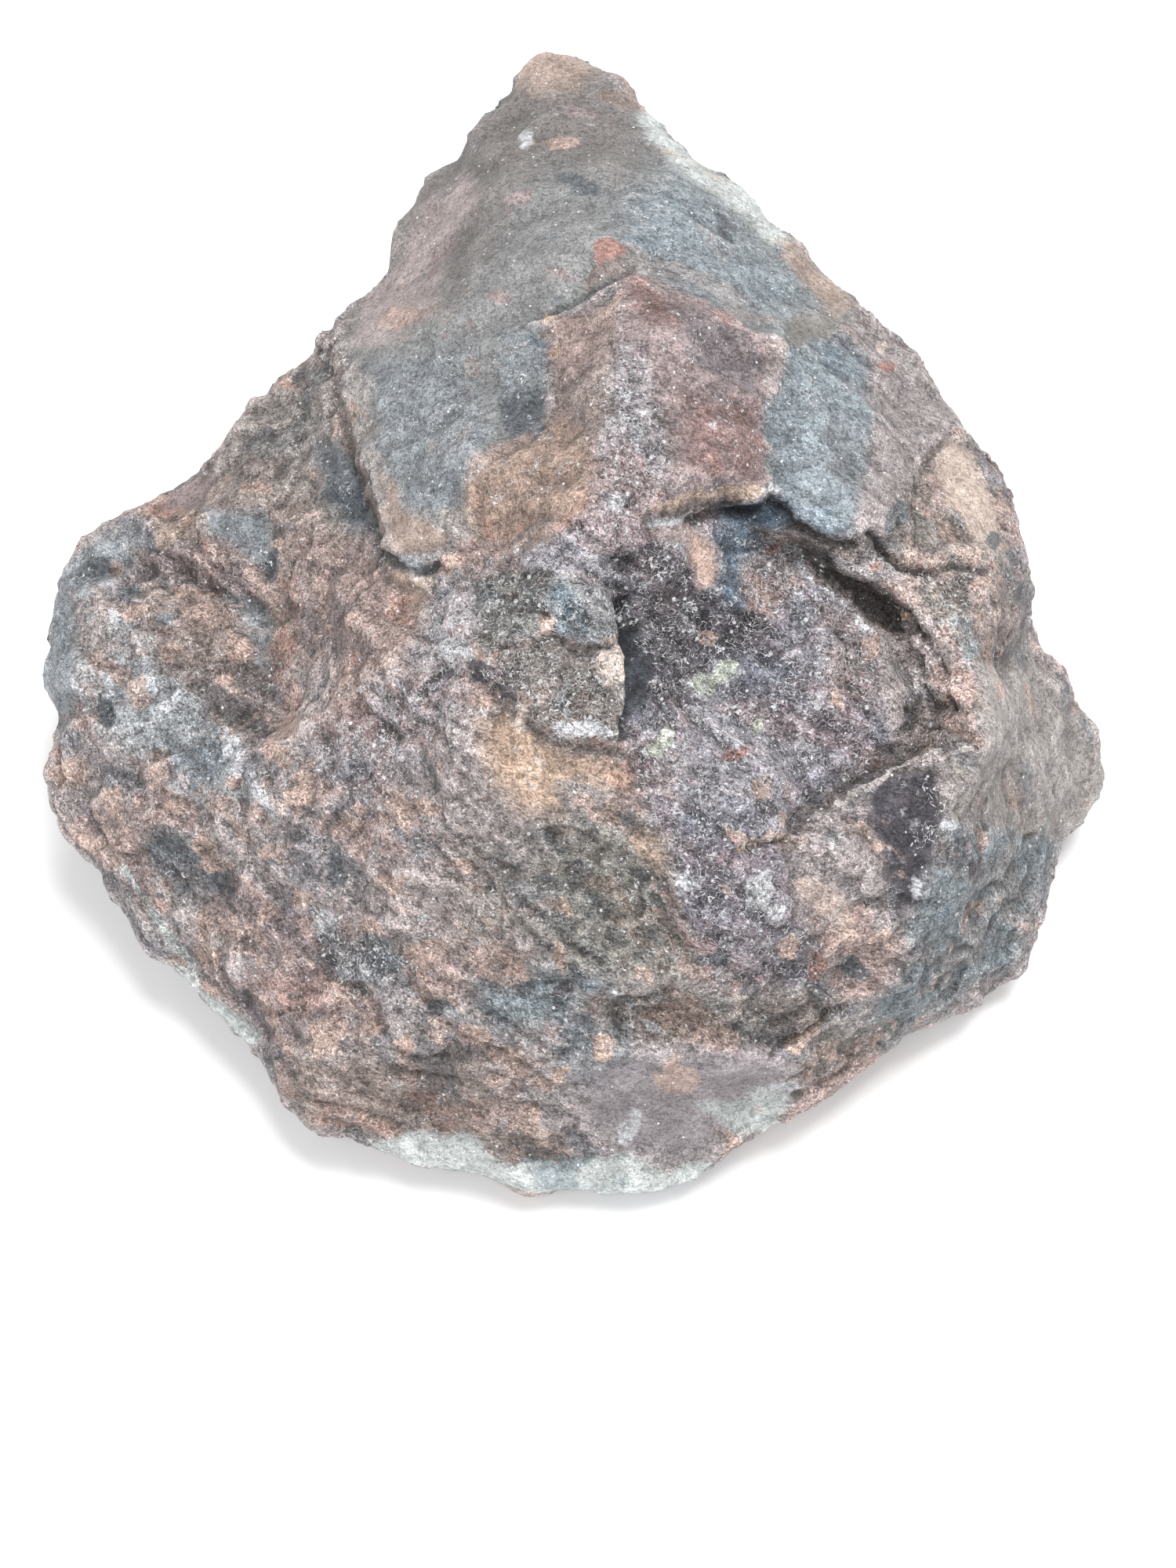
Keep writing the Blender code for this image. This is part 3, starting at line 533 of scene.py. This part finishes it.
# Lumps that stand out: middle, half length and half width in pixels, and height in millimetres
LUMPS = [
    (772, 319, 20, 15, 0.9), (527, 733, 18, 13, 1.3), (578, 720, 15, 17, 1.2), (978, 440, 24, 14, 1.4),
    (779, 848, 16, 18, 1.0), (897, 712, 16, 30, 0.4), (1245, 752, 14, 16, 1.0), (725, 772, 34, 26, 1.4),
    (700, 880, 50, 30, 1.2), (480, 790, 40, 26, 1.2), (1112, 722, 11, 9, 0.8), (650, 820, 18, 12, 0.8),
    (1040, 1236, 14, 12, 0.6), (430, 1080, 30, 20, 1.0), (620, 1180, 34, 22, 1.0), (800, 1230, 40, 20, 1.2),
    (300, 1230, 26, 18, 1.0), (500, 1380, 40, 16, 1.2), (150, 930, 22, 30, 1.2), (1120, 1180, 24, 18, 0.9),
]


def view_axes():
    """Which way the photograph's right, its top and its camera lie."""
    right = Vector((1, 0, 0))
    top = Vector((0, math.sin(CAMERA_ELEVATION), math.cos(CAMERA_ELEVATION)))
    eye = Vector((0, -math.cos(CAMERA_ELEVATION), math.sin(CAMERA_ELEVATION)))
    return right, top, eye


def smooth_rise(value, start, end):
    """0 before start, 1 after end and a smooth rise between them."""
    share = np.clip((value - start) / (end - start), 0, 1)
    return share * share * (3 - 2 * share)


def in_photo(points):
    """The pixel of the photograph that shows each point."""
    right, top, eye = (np.array(axis) for axis in view_axes())
    from_aim = points - np.array(CAMERA_AIM)
    scale = CAMERA_DISTANCE / (CAMERA_DISTANCE - from_aim @ eye) / PHOTO_PIXEL
    across = PHOTO_MIDDLE[0] + from_aim @ right * scale
    down = PHOTO_MIDDLE[1] - from_aim @ top * scale
    return np.stack([across, down], axis=1)


def facing_camera(normals):
    _, _, eye = view_axes()
    return smooth_rise(normals @ np.array(eye), FACING_FROM, FACING_FULL)


def field(points, length, octaves=3, seed=0.0):
    """A wandering value, about -1 to 1, with bumps about length across."""
    shift = Vector((seed, 2.3 * seed, 5.1 * seed))
    return np.array([noise.fractal(Vector(p) / length + shift, 0.8, 2.1, octaves) for p in points])


def scoops(points, size):
    """Depth of shallow scoops about size across that meet in ridges, as a share of size."""
    depths = np.empty(len(points))
    for i, point in enumerate(points):
        place = Vector(point) / size
        distances, centres = noise.voronoi(place)
        depths[i] = min(
            distance ** 2 + SCOOP_LEAN * noise.noise_vector(centre * SCOOP_TURN).dot(place - centre)
            for distance, centre in zip(distances, centres)
        )
    return depths - depths.mean()


def rock_grain():
    """The way that the rock's grain runs: down to the right in the photograph."""
    right, top, _ = view_axes()
    return (GRAIN_RIGHT * right + GRAIN_TOP * top).normalized()


def stretched(points):
    """The points squeezed along the grain of the rock, so that what is made from them runs with it."""
    along = np.array(rock_grain())
    return points - (1 - GRAIN_SQUEEZE) * (points @ along)[:, None] * along


def ledges(points, length, seed):
    """Height of broken ledges about length apart, from -1 to 0: slow rises that end in sharp edges."""
    level = LEDGE_CROWDING * field(stretched(points), length, 3, seed)
    share = level - np.floor(level)
    return smooth_rise(share, 0.0, LEDGE_SHARPNESS) - share


def from_line(places, line, closed=False):
    """How far each place is from a line, in pixels, and on which side: positive on the left of its way."""
    corners = list(line) + ([line[0]] if closed else [])
    nearest = np.full(len(places), np.inf)
    side = np.zeros(len(places))
    for start, end in zip(corners, corners[1:]):
        way = np.array(end, float) - np.array(start, float)
        offset = places - np.array(start, float)
        share = np.clip(offset @ way / (way @ way), 0, 1)
        distance = np.linalg.norm(offset - share[:, None] * way, axis=1)
        turn = way[1] * offset[:, 0] - way[0] * offset[:, 1]
        closer = distance < nearest - 1e-6
        nearest[closer] = distance[closer]
        side[closer] = np.sign(turn[closer])
    return nearest, side


def inside(places, border):
    """Whether each place lies within a border."""
    within = np.zeros(len(places), bool)
    for start, end in zip(border, border[1:] + border[:1]):
        crosses = (start[1] > places[:, 1]) != (end[1] > places[:, 1])
        if start[1] != end[1]:
            at = start[0] + (end[0] - start[0]) * (places[:, 1] - start[1]) / (end[1] - start[1])
            within ^= crosses & (places[:, 0] < at)
    return within


def in_border(places, border, softness):
    """1 well inside a border, 0 well outside and a half on it."""
    distance, _ = from_line(places, border, closed=True)
    signed = np.where(inside(places, border), distance, -distance)
    return smooth_rise(signed, -softness, softness)


def in_mark(places, across, down, length, width, lean=0):
    """1 in the middle of a leaning oval mark, falling to 0 outside it."""
    turn = math.radians(lean)
    offset = places - np.array((across, down), float)
    along = offset @ np.array((math.cos(turn), math.sin(turn))) / length
    sideways = offset @ np.array((-math.sin(turn), math.cos(turn))) / width
    return np.exp(-MARK_FALL * (along ** 2 + sideways ** 2) ** 1.3)


def fine_skin(node):
    """A finer copy of the stone's solid, with its flat facets evened out."""
    skin = bpy.data.objects.new("broken_soapstone", node.data.copy())
    bpy.context.scene.collection.objects.link(skin)
    remesh = skin.modifiers.new("fine_grain", "REMESH")
    remesh.mode = "VOXEL"
    remesh.voxel_size = SKIN_GRAIN
    even = skin.modifiers.new("evened", "SMOOTH")
    even.factor = 0.5
    even.iterations = SKIN_EVENED
    graph = bpy.context.evaluated_depsgraph_get()
    skin.data = bpy.data.meshes.new_from_object(skin.evaluated_get(graph))
    skin.modifiers.clear()
    return skin


def corners_of(mesh):
    points = np.empty(len(mesh.vertices) * 3, np.float32)
    normals = np.empty(len(mesh.vertices) * 3, np.float32)
    mesh.vertices.foreach_get("co", points)
    mesh.vertices.foreach_get("normal", normals)
    return points.reshape(-1, 3).astype(float), normals.reshape(-1, 3).astype(float)


def strayed(points, reach, size, octaves, seed):
    """The pixel that shows each point, moved a little so that what is drawn there has ragged edges."""
    wander = np.stack([field(points, size, octaves, seed), field(points, size, octaves, seed + 1)], axis=1)
    return in_photo(points) + reach * wander


def look_of(colour, texture):
    return np.array([*colour, *TEXTURES[texture]])


def face_looks(points, normals):
    """For each corner: its colour, and its salmon, dark, pale, glint and grit, blended over the faces."""
    base = look_of(PINK_GREY, "gritty")
    look = base + np.zeros((len(points), len(base)))
    for size, seed, way, start, full, colour, texture in UNSEEN_PATCHES:
        share = smooth_rise(way * field(points, size, 3, seed), start, full)[:, None]
        look += share * (look_of(colour, texture) - look)
    facing = facing_camera(normals)[:, None]
    look += facing * (base - look)
    places = strayed(points, *BORDERS_STRAY)
    for colour, texture, softness, border in FACES:
        share = in_border(places, border, softness)[:, None] * facing
        look += share * (look_of(colour, texture) - look)
    return look


def colour_marks(points, normals):
    """For each corner: the colour of the strongest mark there, and how strong it is."""
    facing = facing_camera(normals)
    places = strayed(points, *MARKS_STRAY)
    colours = np.array(SALMON) + np.zeros((len(points), 3))
    strengths = np.zeros(len(points))

    def mark(colour, here):
        stronger = here > strengths
        colours[stronger] = colour
        strengths[stronger] = here[stronger]

    for colour, strength, ovals in MARKS:
        for oval in ovals:
            mark(colour, in_mark(places, *oval) * strength * facing)
    for colour, half_width, line in STREAKS:
        distance, _ = from_line(places, line)
        mark(colour, STREAK_STRENGTH * facing * np.exp(-MARK_FALL * (distance / half_width) ** 2))
    return colours, strengths


def relief(points, normals, grit):
    """How far each corner moves out along its normal, in metres."""
    noise.seed_set(SCOOP_SEED)
    facing = facing_camera(normals)
    photo_mm = MM / PHOTO_PIXEL
    places = strayed(points, *LINES_STRAY)
    rise = np.zeros(len(points))
    for size, depth, share in SCOOPED:
        rise += scoops(points, size) * size * depth * (share + grit)
    for apart, height, share, seed in LEDGED:
        rise += ledges(points, apart, seed) * height * (share + grit)
    for size, height, share, octaves, seed in GRITTED:
        rise += field(points, size, octaves, seed) * height * (share + grit)
    for width, depth, line in CRACKS.values():
        distance, _ = from_line(places, line)
        rise -= facing * depth * MM * np.exp(-(distance / (width * photo_mm / 2)) ** 2)
    for height, reach, line in STEPS.values():
        distance, side = from_line(places, line)
        edge = np.tanh(side * distance / STEP_EDGE) * np.exp(-distance / (reach * photo_mm))
        rise += facing * height * MM / 2 * edge
    for across, down, length, width, height in LUMPS:
        rise += facing * height * MM * in_mark(places, across, down, length, width)
    return rise


def keep_on_table(points, before):
    """The flat that the stone lies on stays flat, and nothing reaches below it."""
    down = smooth_rise(before[:, 2], FLAT_FROM, FLAT_TO)[:, None]
    points = before + (points - before) * down
    points[:, 2] = np.maximum(points[:, 2], 0)
    return points


def crease_of(mesh, points, normals):
    """How deep each corner lies below its surroundings, in crease units."""
    edges = np.empty(len(mesh.edges) * 2, np.int32)
    mesh.edges.foreach_get("vertices", edges)
    edges = edges.reshape(-1, 2)
    count = np.bincount(edges.ravel(), minlength=len(points))[:, None]
    mean = points.copy()
    for _ in range(CREASE_REACH):
        total = np.zeros_like(mean)
        np.add.at(total, edges[:, 0], mean[edges[:, 1]])
        np.add.at(total, edges[:, 1], mean[edges[:, 0]])
        mean = total / count
    return np.einsum("ij,ij->i", mean - points, normals) / CREASE_UNIT


def paint(mesh, name, values):
    layer = mesh.attributes.new(name, "FLOAT", "POINT")
    layer.data.foreach_set("value", np.asarray(values, np.float32))


def paint_colour(mesh, name, colours):
    layer = mesh.attributes.new(name, "FLOAT_COLOR", "POINT")
    full = np.concatenate([colours, np.ones((len(colours), 1))], axis=1)
    layer.data.foreach_set("color", full.astype(np.float32).ravel())


def link(tree, start, end):
    tree.links.new(start, end)


def node(tree, kind, **settings):
    made = tree.nodes.new(kind)
    for name, value in settings.items():
        setattr(made, name, value)
    return made


def group_tree(name, inputs, outputs):
    """An empty shader node group with number and vector sockets."""
    tree = bpy.data.node_groups.new(name, "ShaderNodeTree")
    for socket, kind, value in inputs:
        made = tree.interface.new_socket(socket, in_out="INPUT", socket_type=kind)
        if value is not None:
            made.default_value = value
    for socket in outputs:
        tree.interface.new_socket(socket, in_out="OUTPUT", socket_type="NodeSocketFloat")
    return tree, node(tree, "NodeGroupInput"), node(tree, "NodeGroupOutput")


def give(tree, socket, value):
    """Links a socket to another, or sets it to a number or a colour."""
    if isinstance(value, bpy.types.NodeSocket):
        link(tree, value, socket)
    elif isinstance(value, tuple):
        socket.default_value = (*value, 1.0)
    else:
        socket.default_value = value


def math_node(tree, operation, *values):
    made = node(tree, "ShaderNodeMath", operation=operation)
    for socket, value in zip(made.inputs, values):
        give(tree, socket, value)
    return made.outputs[0]


def noise_node(tree, place, scale, detail, roughness, distortion=0.0, output="Fac"):
    made = node(tree, "ShaderNodeTexNoise")
    values = {"Vector": place, "Scale": scale, "Detail": detail, "Roughness": roughness,
              "Distortion": distortion}
    for name, value in values.items():
        give(tree, made.inputs[name], value)
    return made.outputs[output]


def cell_node(tree, place, scale):
    """Scattered cells: how far each place is from its cell's middle, and a number of the cell's own."""
    made = node(tree, "ShaderNodeTexVoronoi", feature="F1")
    give(tree, made.inputs["Vector"], place)
    give(tree, made.inputs["Scale"], scale)
    lot = node(tree, "ShaderNodeSeparateColor")
    give(tree, lot.inputs[0], made.outputs["Color"])
    return made.outputs["Distance"], lot.outputs[0]


def ramped(tree, value, low, high, out_low=0.0, out_high=1.0, smooth=True):
    made = node(tree, "ShaderNodeMapRange", interpolation_type="SMOOTHSTEP" if smooth else "LINEAR")
    for socket, entry in zip(made.inputs, (value, low, high, out_low, out_high)):
        give(tree, socket, entry)
    return made.outputs["Result"]


def mixed(tree, share, first, second, blend="MIX"):
    made = node(tree, "ShaderNodeMix", data_type="RGBA", blend_type=blend)
    for socket, value in ((made.inputs["Factor"], share), (made.inputs[6], first), (made.inputs[7], second)):
        give(tree, socket, value)
    return made.outputs[2]


def drawn_along(tree, place, squeeze):
    """The place squeezed along the grain of the rock, so that a pattern made from it runs with the grain."""
    reach = node(tree, "ShaderNodeVectorMath", operation="DOT_PRODUCT")
    link(tree, place, reach.inputs[0])
    reach.inputs[1].default_value = rock_grain()
    drawn = node(tree, "ShaderNodeVectorMath", operation="SCALE")
    drawn.inputs[0].default_value = rock_grain()
    link(tree, math_node(tree, "MULTIPLY", reach.outputs["Value"], squeeze - 1), drawn.inputs["Scale"])
    moved = node(tree, "ShaderNodeVectorMath", operation="ADD")
    link(tree, place, moved.inputs[0])
    link(tree, drawn.outputs[0], moved.inputs[1])
    return moved.outputs[0]


def fleck_group():
    """Mineral flecks with ragged edges. More Amount makes them more and larger."""
    tree, ins, outs = group_tree(
        "mineral_flecks",
        [("Place", "NodeSocketVector", None), ("Scale", "NodeSocketFloat", 150.0),
         ("Amount", "NodeSocketFloat", 0.3), ("Raggedness", "NodeSocketFloat", 0.7)],
        ["Fleck"],
    )
    cloud = noise_node(tree, ins.outputs["Place"], ins.outputs["Scale"], 5.0, ins.outputs["Raggedness"],
                       FLECK_SWIRL)
    edge = ramped(tree, ins.outputs["Amount"], 0.0, 1.0, FLECKS_AT_NONE, FLECKS_AT_MOST, smooth=False)
    top = math_node(tree, "ADD", edge, FLECK_EDGE)
    link(tree, ramped(tree, cloud, edge, top), outs.inputs["Fleck"])
    return tree


def glint_group():
    """Painted highlights of light caught by talc flakes: thin curly threads broken into short bits, and
    single sparks.
    """
    tree, ins, outs = group_tree(
        "talc_glints",
        [("Place", "NodeSocketVector", None), ("Scale", "NodeSocketFloat", GLINT_SCALE),
         ("Amount", "NodeSocketFloat", 0.5)],
        ["Glint", "Spark"],
    )
    place, scale, amount = (ins.outputs[name] for name in ("Place", "Scale", "Amount"))
    swirl = noise_node(tree, place, scale, 1.0, 0.5, THREAD_SWIRL)
    away = math_node(tree, "ABSOLUTE", math_node(tree, "SUBTRACT", swirl, 0.5))
    thread = ramped(tree, away, THREAD_CORE, THREAD_EDGE, 1.0, 0.0)
    bits = noise_node(tree, place, math_node(tree, "MULTIPLY", scale, BITS_SIZE), 2.0, 0.6)
    patches = noise_node(tree, place, math_node(tree, "MULTIPLY", scale, BITS_PATCH), 3.0, 0.6)
    bits = math_node(tree, "MULTIPLY_ADD", math_node(tree, "SUBTRACT", patches, 0.5), BITS_PATCHINESS, bits)
    start = ramped(tree, amount, 0.0, 1.0, BITS_AT_NONE, BITS_AT_MOST, smooth=False)
    shown = ramped(tree, bits, start, math_node(tree, "ADD", start, BITS_EDGE))
    link(tree, math_node(tree, "MULTIPLY", thread, shown), outs.inputs["Glint"])
    distance, lot = cell_node(tree, place, math_node(tree, "MULTIPLY", scale, SPARK_SIZE))
    size = math_node(tree, "MULTIPLY", lot, ramped(tree, amount, 0.0, 1.0, SPARK_AT_NONE, SPARK_AT_MOST))
    core = math_node(tree, "MULTIPLY", size, SPARK_CORE)
    link(tree, ramped(tree, distance, core, size, 1.0, 0.0), outs.inputs["Spark"])
    return tree


def grain_group():
    """Crumbly grain along the rock: clouds, shards and dust around 0, and specks and pits from 0 to 1."""
    tree, ins, outs = group_tree(
        "crumbly_grain",
        [("Place", "NodeSocketVector", None), ("Scale", "NodeSocketFloat", GRAIN_SCALE)],
        ["Clouds", "Shards", "Specks", "Pits", "Dust"],
    )
    place = drawn_along(tree, ins.outputs["Place"], STREAK_SQUEEZE)
    scale = ins.outputs["Scale"]

    def part(where, finer, detail, roughness, output="Fac"):
        size = math_node(tree, "MULTIPLY", scale, finer)
        return noise_node(tree, where, size, detail, roughness, output=output)

    link(tree, math_node(tree, "SUBTRACT", part(place, *CLOUDS), 0.5), outs.inputs["Clouds"])
    pushed = node(tree, "ShaderNodeVectorMath", operation="MULTIPLY_ADD")
    link(tree, part(place, *PUSH, output="Color"), pushed.inputs[0])
    pushed.inputs[1].default_value = (SHARD_PUSH, SHARD_PUSH, SHARD_PUSH)
    link(tree, place, pushed.inputs[2])
    _, lot = cell_node(tree, pushed.outputs[0], math_node(tree, "MULTIPLY", scale, SHARDS_FINER))
    link(tree, math_node(tree, "SUBTRACT", lot, 0.5), outs.inputs["Shards"])
    link(tree, ramped(tree, part(place, *DUST), 0.40, 0.60, -0.5, 0.5), outs.inputs["Dust"])
    link(tree, ramped(tree, part(place, *SPECKS), 0.50, 0.64), outs.inputs["Specks"])
    link(tree, ramped(tree, part(pushed.outputs[0], *PITS), 0.37, 0.50, 1.0, 0.0), outs.inputs["Pits"])
    return tree


def placed_group(tree, group, place, **values):
    made = node(tree, "ShaderNodeGroup", node_tree=group)
    for name, value in {"Place": place, **values}.items():
        give(tree, made.inputs[name], value)
    return made.outputs


def painted(tree, name, output="Fac"):
    return node(tree, "ShaderNodeAttribute", attribute_name=name).outputs[output]


def mottled(tree, place, grit):
    """The painted colour of each face with its patches, flecks and marks."""
    drawn = drawn_along(tree, place, PATCH_SQUEEZE)
    flecks = fleck_group()
    patchy = ramped(tree, grit, 0.1, 0.9, PATCHES_WHERE_SMOOTH, PATCHES_WHERE_GRITTY, smooth=False)
    layers = [(drawn, patchy, *patch, "MULTIPLY") for patch in SHADE_PATCHES]
    layers += [(drawn, painted(tree, name), *fleck, "MIX") for name, *fleck in LONG_FLECKS]
    layers += [(place, painted(tree, name), *fleck, "MIX") for name, *fleck in ROUND_FLECKS]
    colour = painted(tree, "tint", "Color")
    for where, amount, scale, raggedness, strength, tint, blend in layers:
        fleck = placed_group(tree, flecks, where, Scale=scale, Amount=amount, Raggedness=raggedness)
        colour = mixed(tree, math_node(tree, "MULTIPLY", fleck["Fleck"], strength), colour, tint, blend)
    ragged = math_node(tree, "SUBTRACT", noise_node(tree, drawn, MARK_SCALE, 4.0, 0.66), 0.5)
    reach = math_node(tree, "MULTIPLY_ADD", ragged, MARK_RAGGEDNESS, painted(tree, "mark"))
    mark = ramped(tree, reach, MARK_FROM, MARK_FULL, 0.0, MARK_COVER)
    return mixed(tree, mark, colour, painted(tree, "mark_tint", "Color"))


def soapstone_finish():
    """Mottled soapstone: tinted faces, salmon, dark and pale flecks, painted shade in creases and painted
    light on ridges, grit and painted talc glints.
    """
    material = bpy.data.materials.new("mottled_soapstone")
    material.use_nodes = True
    tree = material.node_tree
    shader = tree.nodes["Principled BSDF"]
    place = node(tree, "ShaderNodeTexCoord").outputs["Object"]
    grit = painted(tree, "grit")
    colour = mottled(tree, place, grit)

    grain = placed_group(tree, grain_group(), place)
    lightness = 0.0
    for part, strength in GRAIN_PARTS.items():
        lightness = math_node(tree, "MULTIPLY_ADD", grain[part], strength, lightness)
    roughened = ramped(tree, grit, 0.1, 1.0, GRAIN_WHERE_SMOOTH, GRAIN_WHERE_GRITTY, smooth=False)
    lightness = math_node(tree, "MULTIPLY", lightness, roughened)
    # Painted shade and light: the colour is darkened in creases and lightened on ridges, by how deep each
    # corner lies
    painted_crease_shade = ramped(tree, painted(tree, "crease"), -1.0, 1.4, RIDGE_PAINTED_LIGHT, CREASE_PAINTED_SHADE, smooth=False)
    shade = math_node(tree, "EXPONENT", math_node(tree, "ADD", lightness, painted_crease_shade))
    shade_colour = node(tree, "ShaderNodeCombineColor")
    for socket in shade_colour.inputs:
        link(tree, shade, socket)
    colour = mixed(tree, 1.0, colour, shade_colour.outputs[0], "MULTIPLY")

    flakes = placed_group(tree, glint_group(), place, Scale=GLINT_SCALE, Amount=painted(tree, "glint"))
    glint = math_node(tree, "MAXIMUM", flakes["Glint"], flakes["Spark"])
    # Painted highlights: the glints and sparks are mixed white into the colour
    colour = mixed(tree, math_node(tree, "MULTIPLY", glint, GLINT_COVER), colour, PAINTED_GLINT_WHITE)
    link(tree, colour, shader.inputs["Base Color"])
    link(tree, ramped(tree, glint, 0.0, 1.0, DULL, SHINY), shader.inputs["Roughness"])

    bump = node(tree, "ShaderNodeBump")
    bump.inputs["Strength"].default_value = BUMP_STRENGTH
    bump.inputs["Distance"].default_value = BUMP_HEIGHT
    height = math_node(tree, "MULTIPLY", math_node(tree, "ADD", lightness, glint), BUMP_SHARE)
    link(tree, height, bump.inputs["Height"])
    link(tree, bump.outputs["Normal"], shader.inputs["Normal"])
    return material


def dressed_stone():
    skin = fine_skin(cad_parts["soapstone_block"])
    mesh = skin.data
    before, normals = corners_of(mesh)
    look = face_looks(before, normals)
    mark_tints, marks = colour_marks(before, normals)
    rise = relief(before, normals, look[:, 3 + LOOKS.index("grit")])
    points = keep_on_table(before + normals * rise[:, None], before)
    mesh.vertices.foreach_set("co", points.astype(np.float32).ravel())
    mesh.update()
    paint_colour(mesh, "tint", look[:, :3])
    paint_colour(mesh, "mark_tint", mark_tints)
    paint(mesh, "mark", marks)
    for column, name in enumerate(LOOKS, start=3):
        paint(mesh, name, look[:, column])
    # The crease depth, which the material turns into painted shade in creases and painted light on ridges
    paint(mesh, "crease", crease_of(mesh, points, normals))
    mesh.materials.clear()
    mesh.materials.append(soapstone_finish())
    mesh.shade_smooth()
    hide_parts("soapstone_block")
    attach(skin, "root")


def pale_floor():
    mesh = bpy.data.meshes.new("pale_floor")
    corners = [(FLOOR_HALF * x, FLOOR_HALF * y, 0) for x, y in ((-1, -1), (1, -1), (1, 1), (-1, 1))]
    mesh.from_pydata(corners, [], [(0, 1, 2, 3)])
    floor = bpy.data.objects.new("pale_floor", mesh)
    bpy.context.scene.collection.objects.link(floor)
    material = bpy.data.materials.new("pale_table")
    material.use_nodes = True
    shader = material.node_tree.nodes["Principled BSDF"]
    shader.inputs["Base Color"].default_value = FLOOR_WHITE
    shader.inputs["Roughness"].default_value = FLOOR_ROUGHNESS
    mesh.materials.append(material)


def soft_light(name, place, size, power):
    """A square lamp pointed at the stone."""
    lamp = bpy.data.lights.new(name, "AREA")
    lamp.size = size
    lamp.energy = power
    holder = bpy.data.objects.new(name, lamp)
    holder.location = place
    way = Vector(LAMP_AIM) - Vector(place)
    holder.rotation_euler = way.to_track_quat("-Z", "Y").to_euler()
    bpy.context.scene.collection.objects.link(holder)


def studio():
    world = bpy.data.worlds.new("pale_studio")
    world.use_nodes = True
    backdrop = world.node_tree.nodes["Background"]
    backdrop.inputs["Color"].default_value = (1.0, 1.0, 1.0, 1.0)
    backdrop.inputs["Strength"].default_value = SKY_STRENGTH
    bpy.context.scene.world = world
    for lamp in LAMPS:
        soft_light(*lamp)
    bpy.context.scene.view_settings.view_transform = "Standard"


def photo_camera():
    lens = bpy.data.cameras.new("photo_camera")
    lens.sensor_width = SENSOR_MM
    lens.lens = LENS_MM
    camera = bpy.data.objects.new("photo_camera", lens)
    _, _, eye = view_axes()
    camera.location = CAMERA_AIM + eye * CAMERA_DISTANCE
    camera.rotation_euler = (-eye).to_track_quat("-Z", "Y").to_euler()
    bpy.context.scene.collection.objects.link(camera)
    bpy.context.scene.camera = camera


photo_camera()
studio()
pale_floor()
dressed_stone()
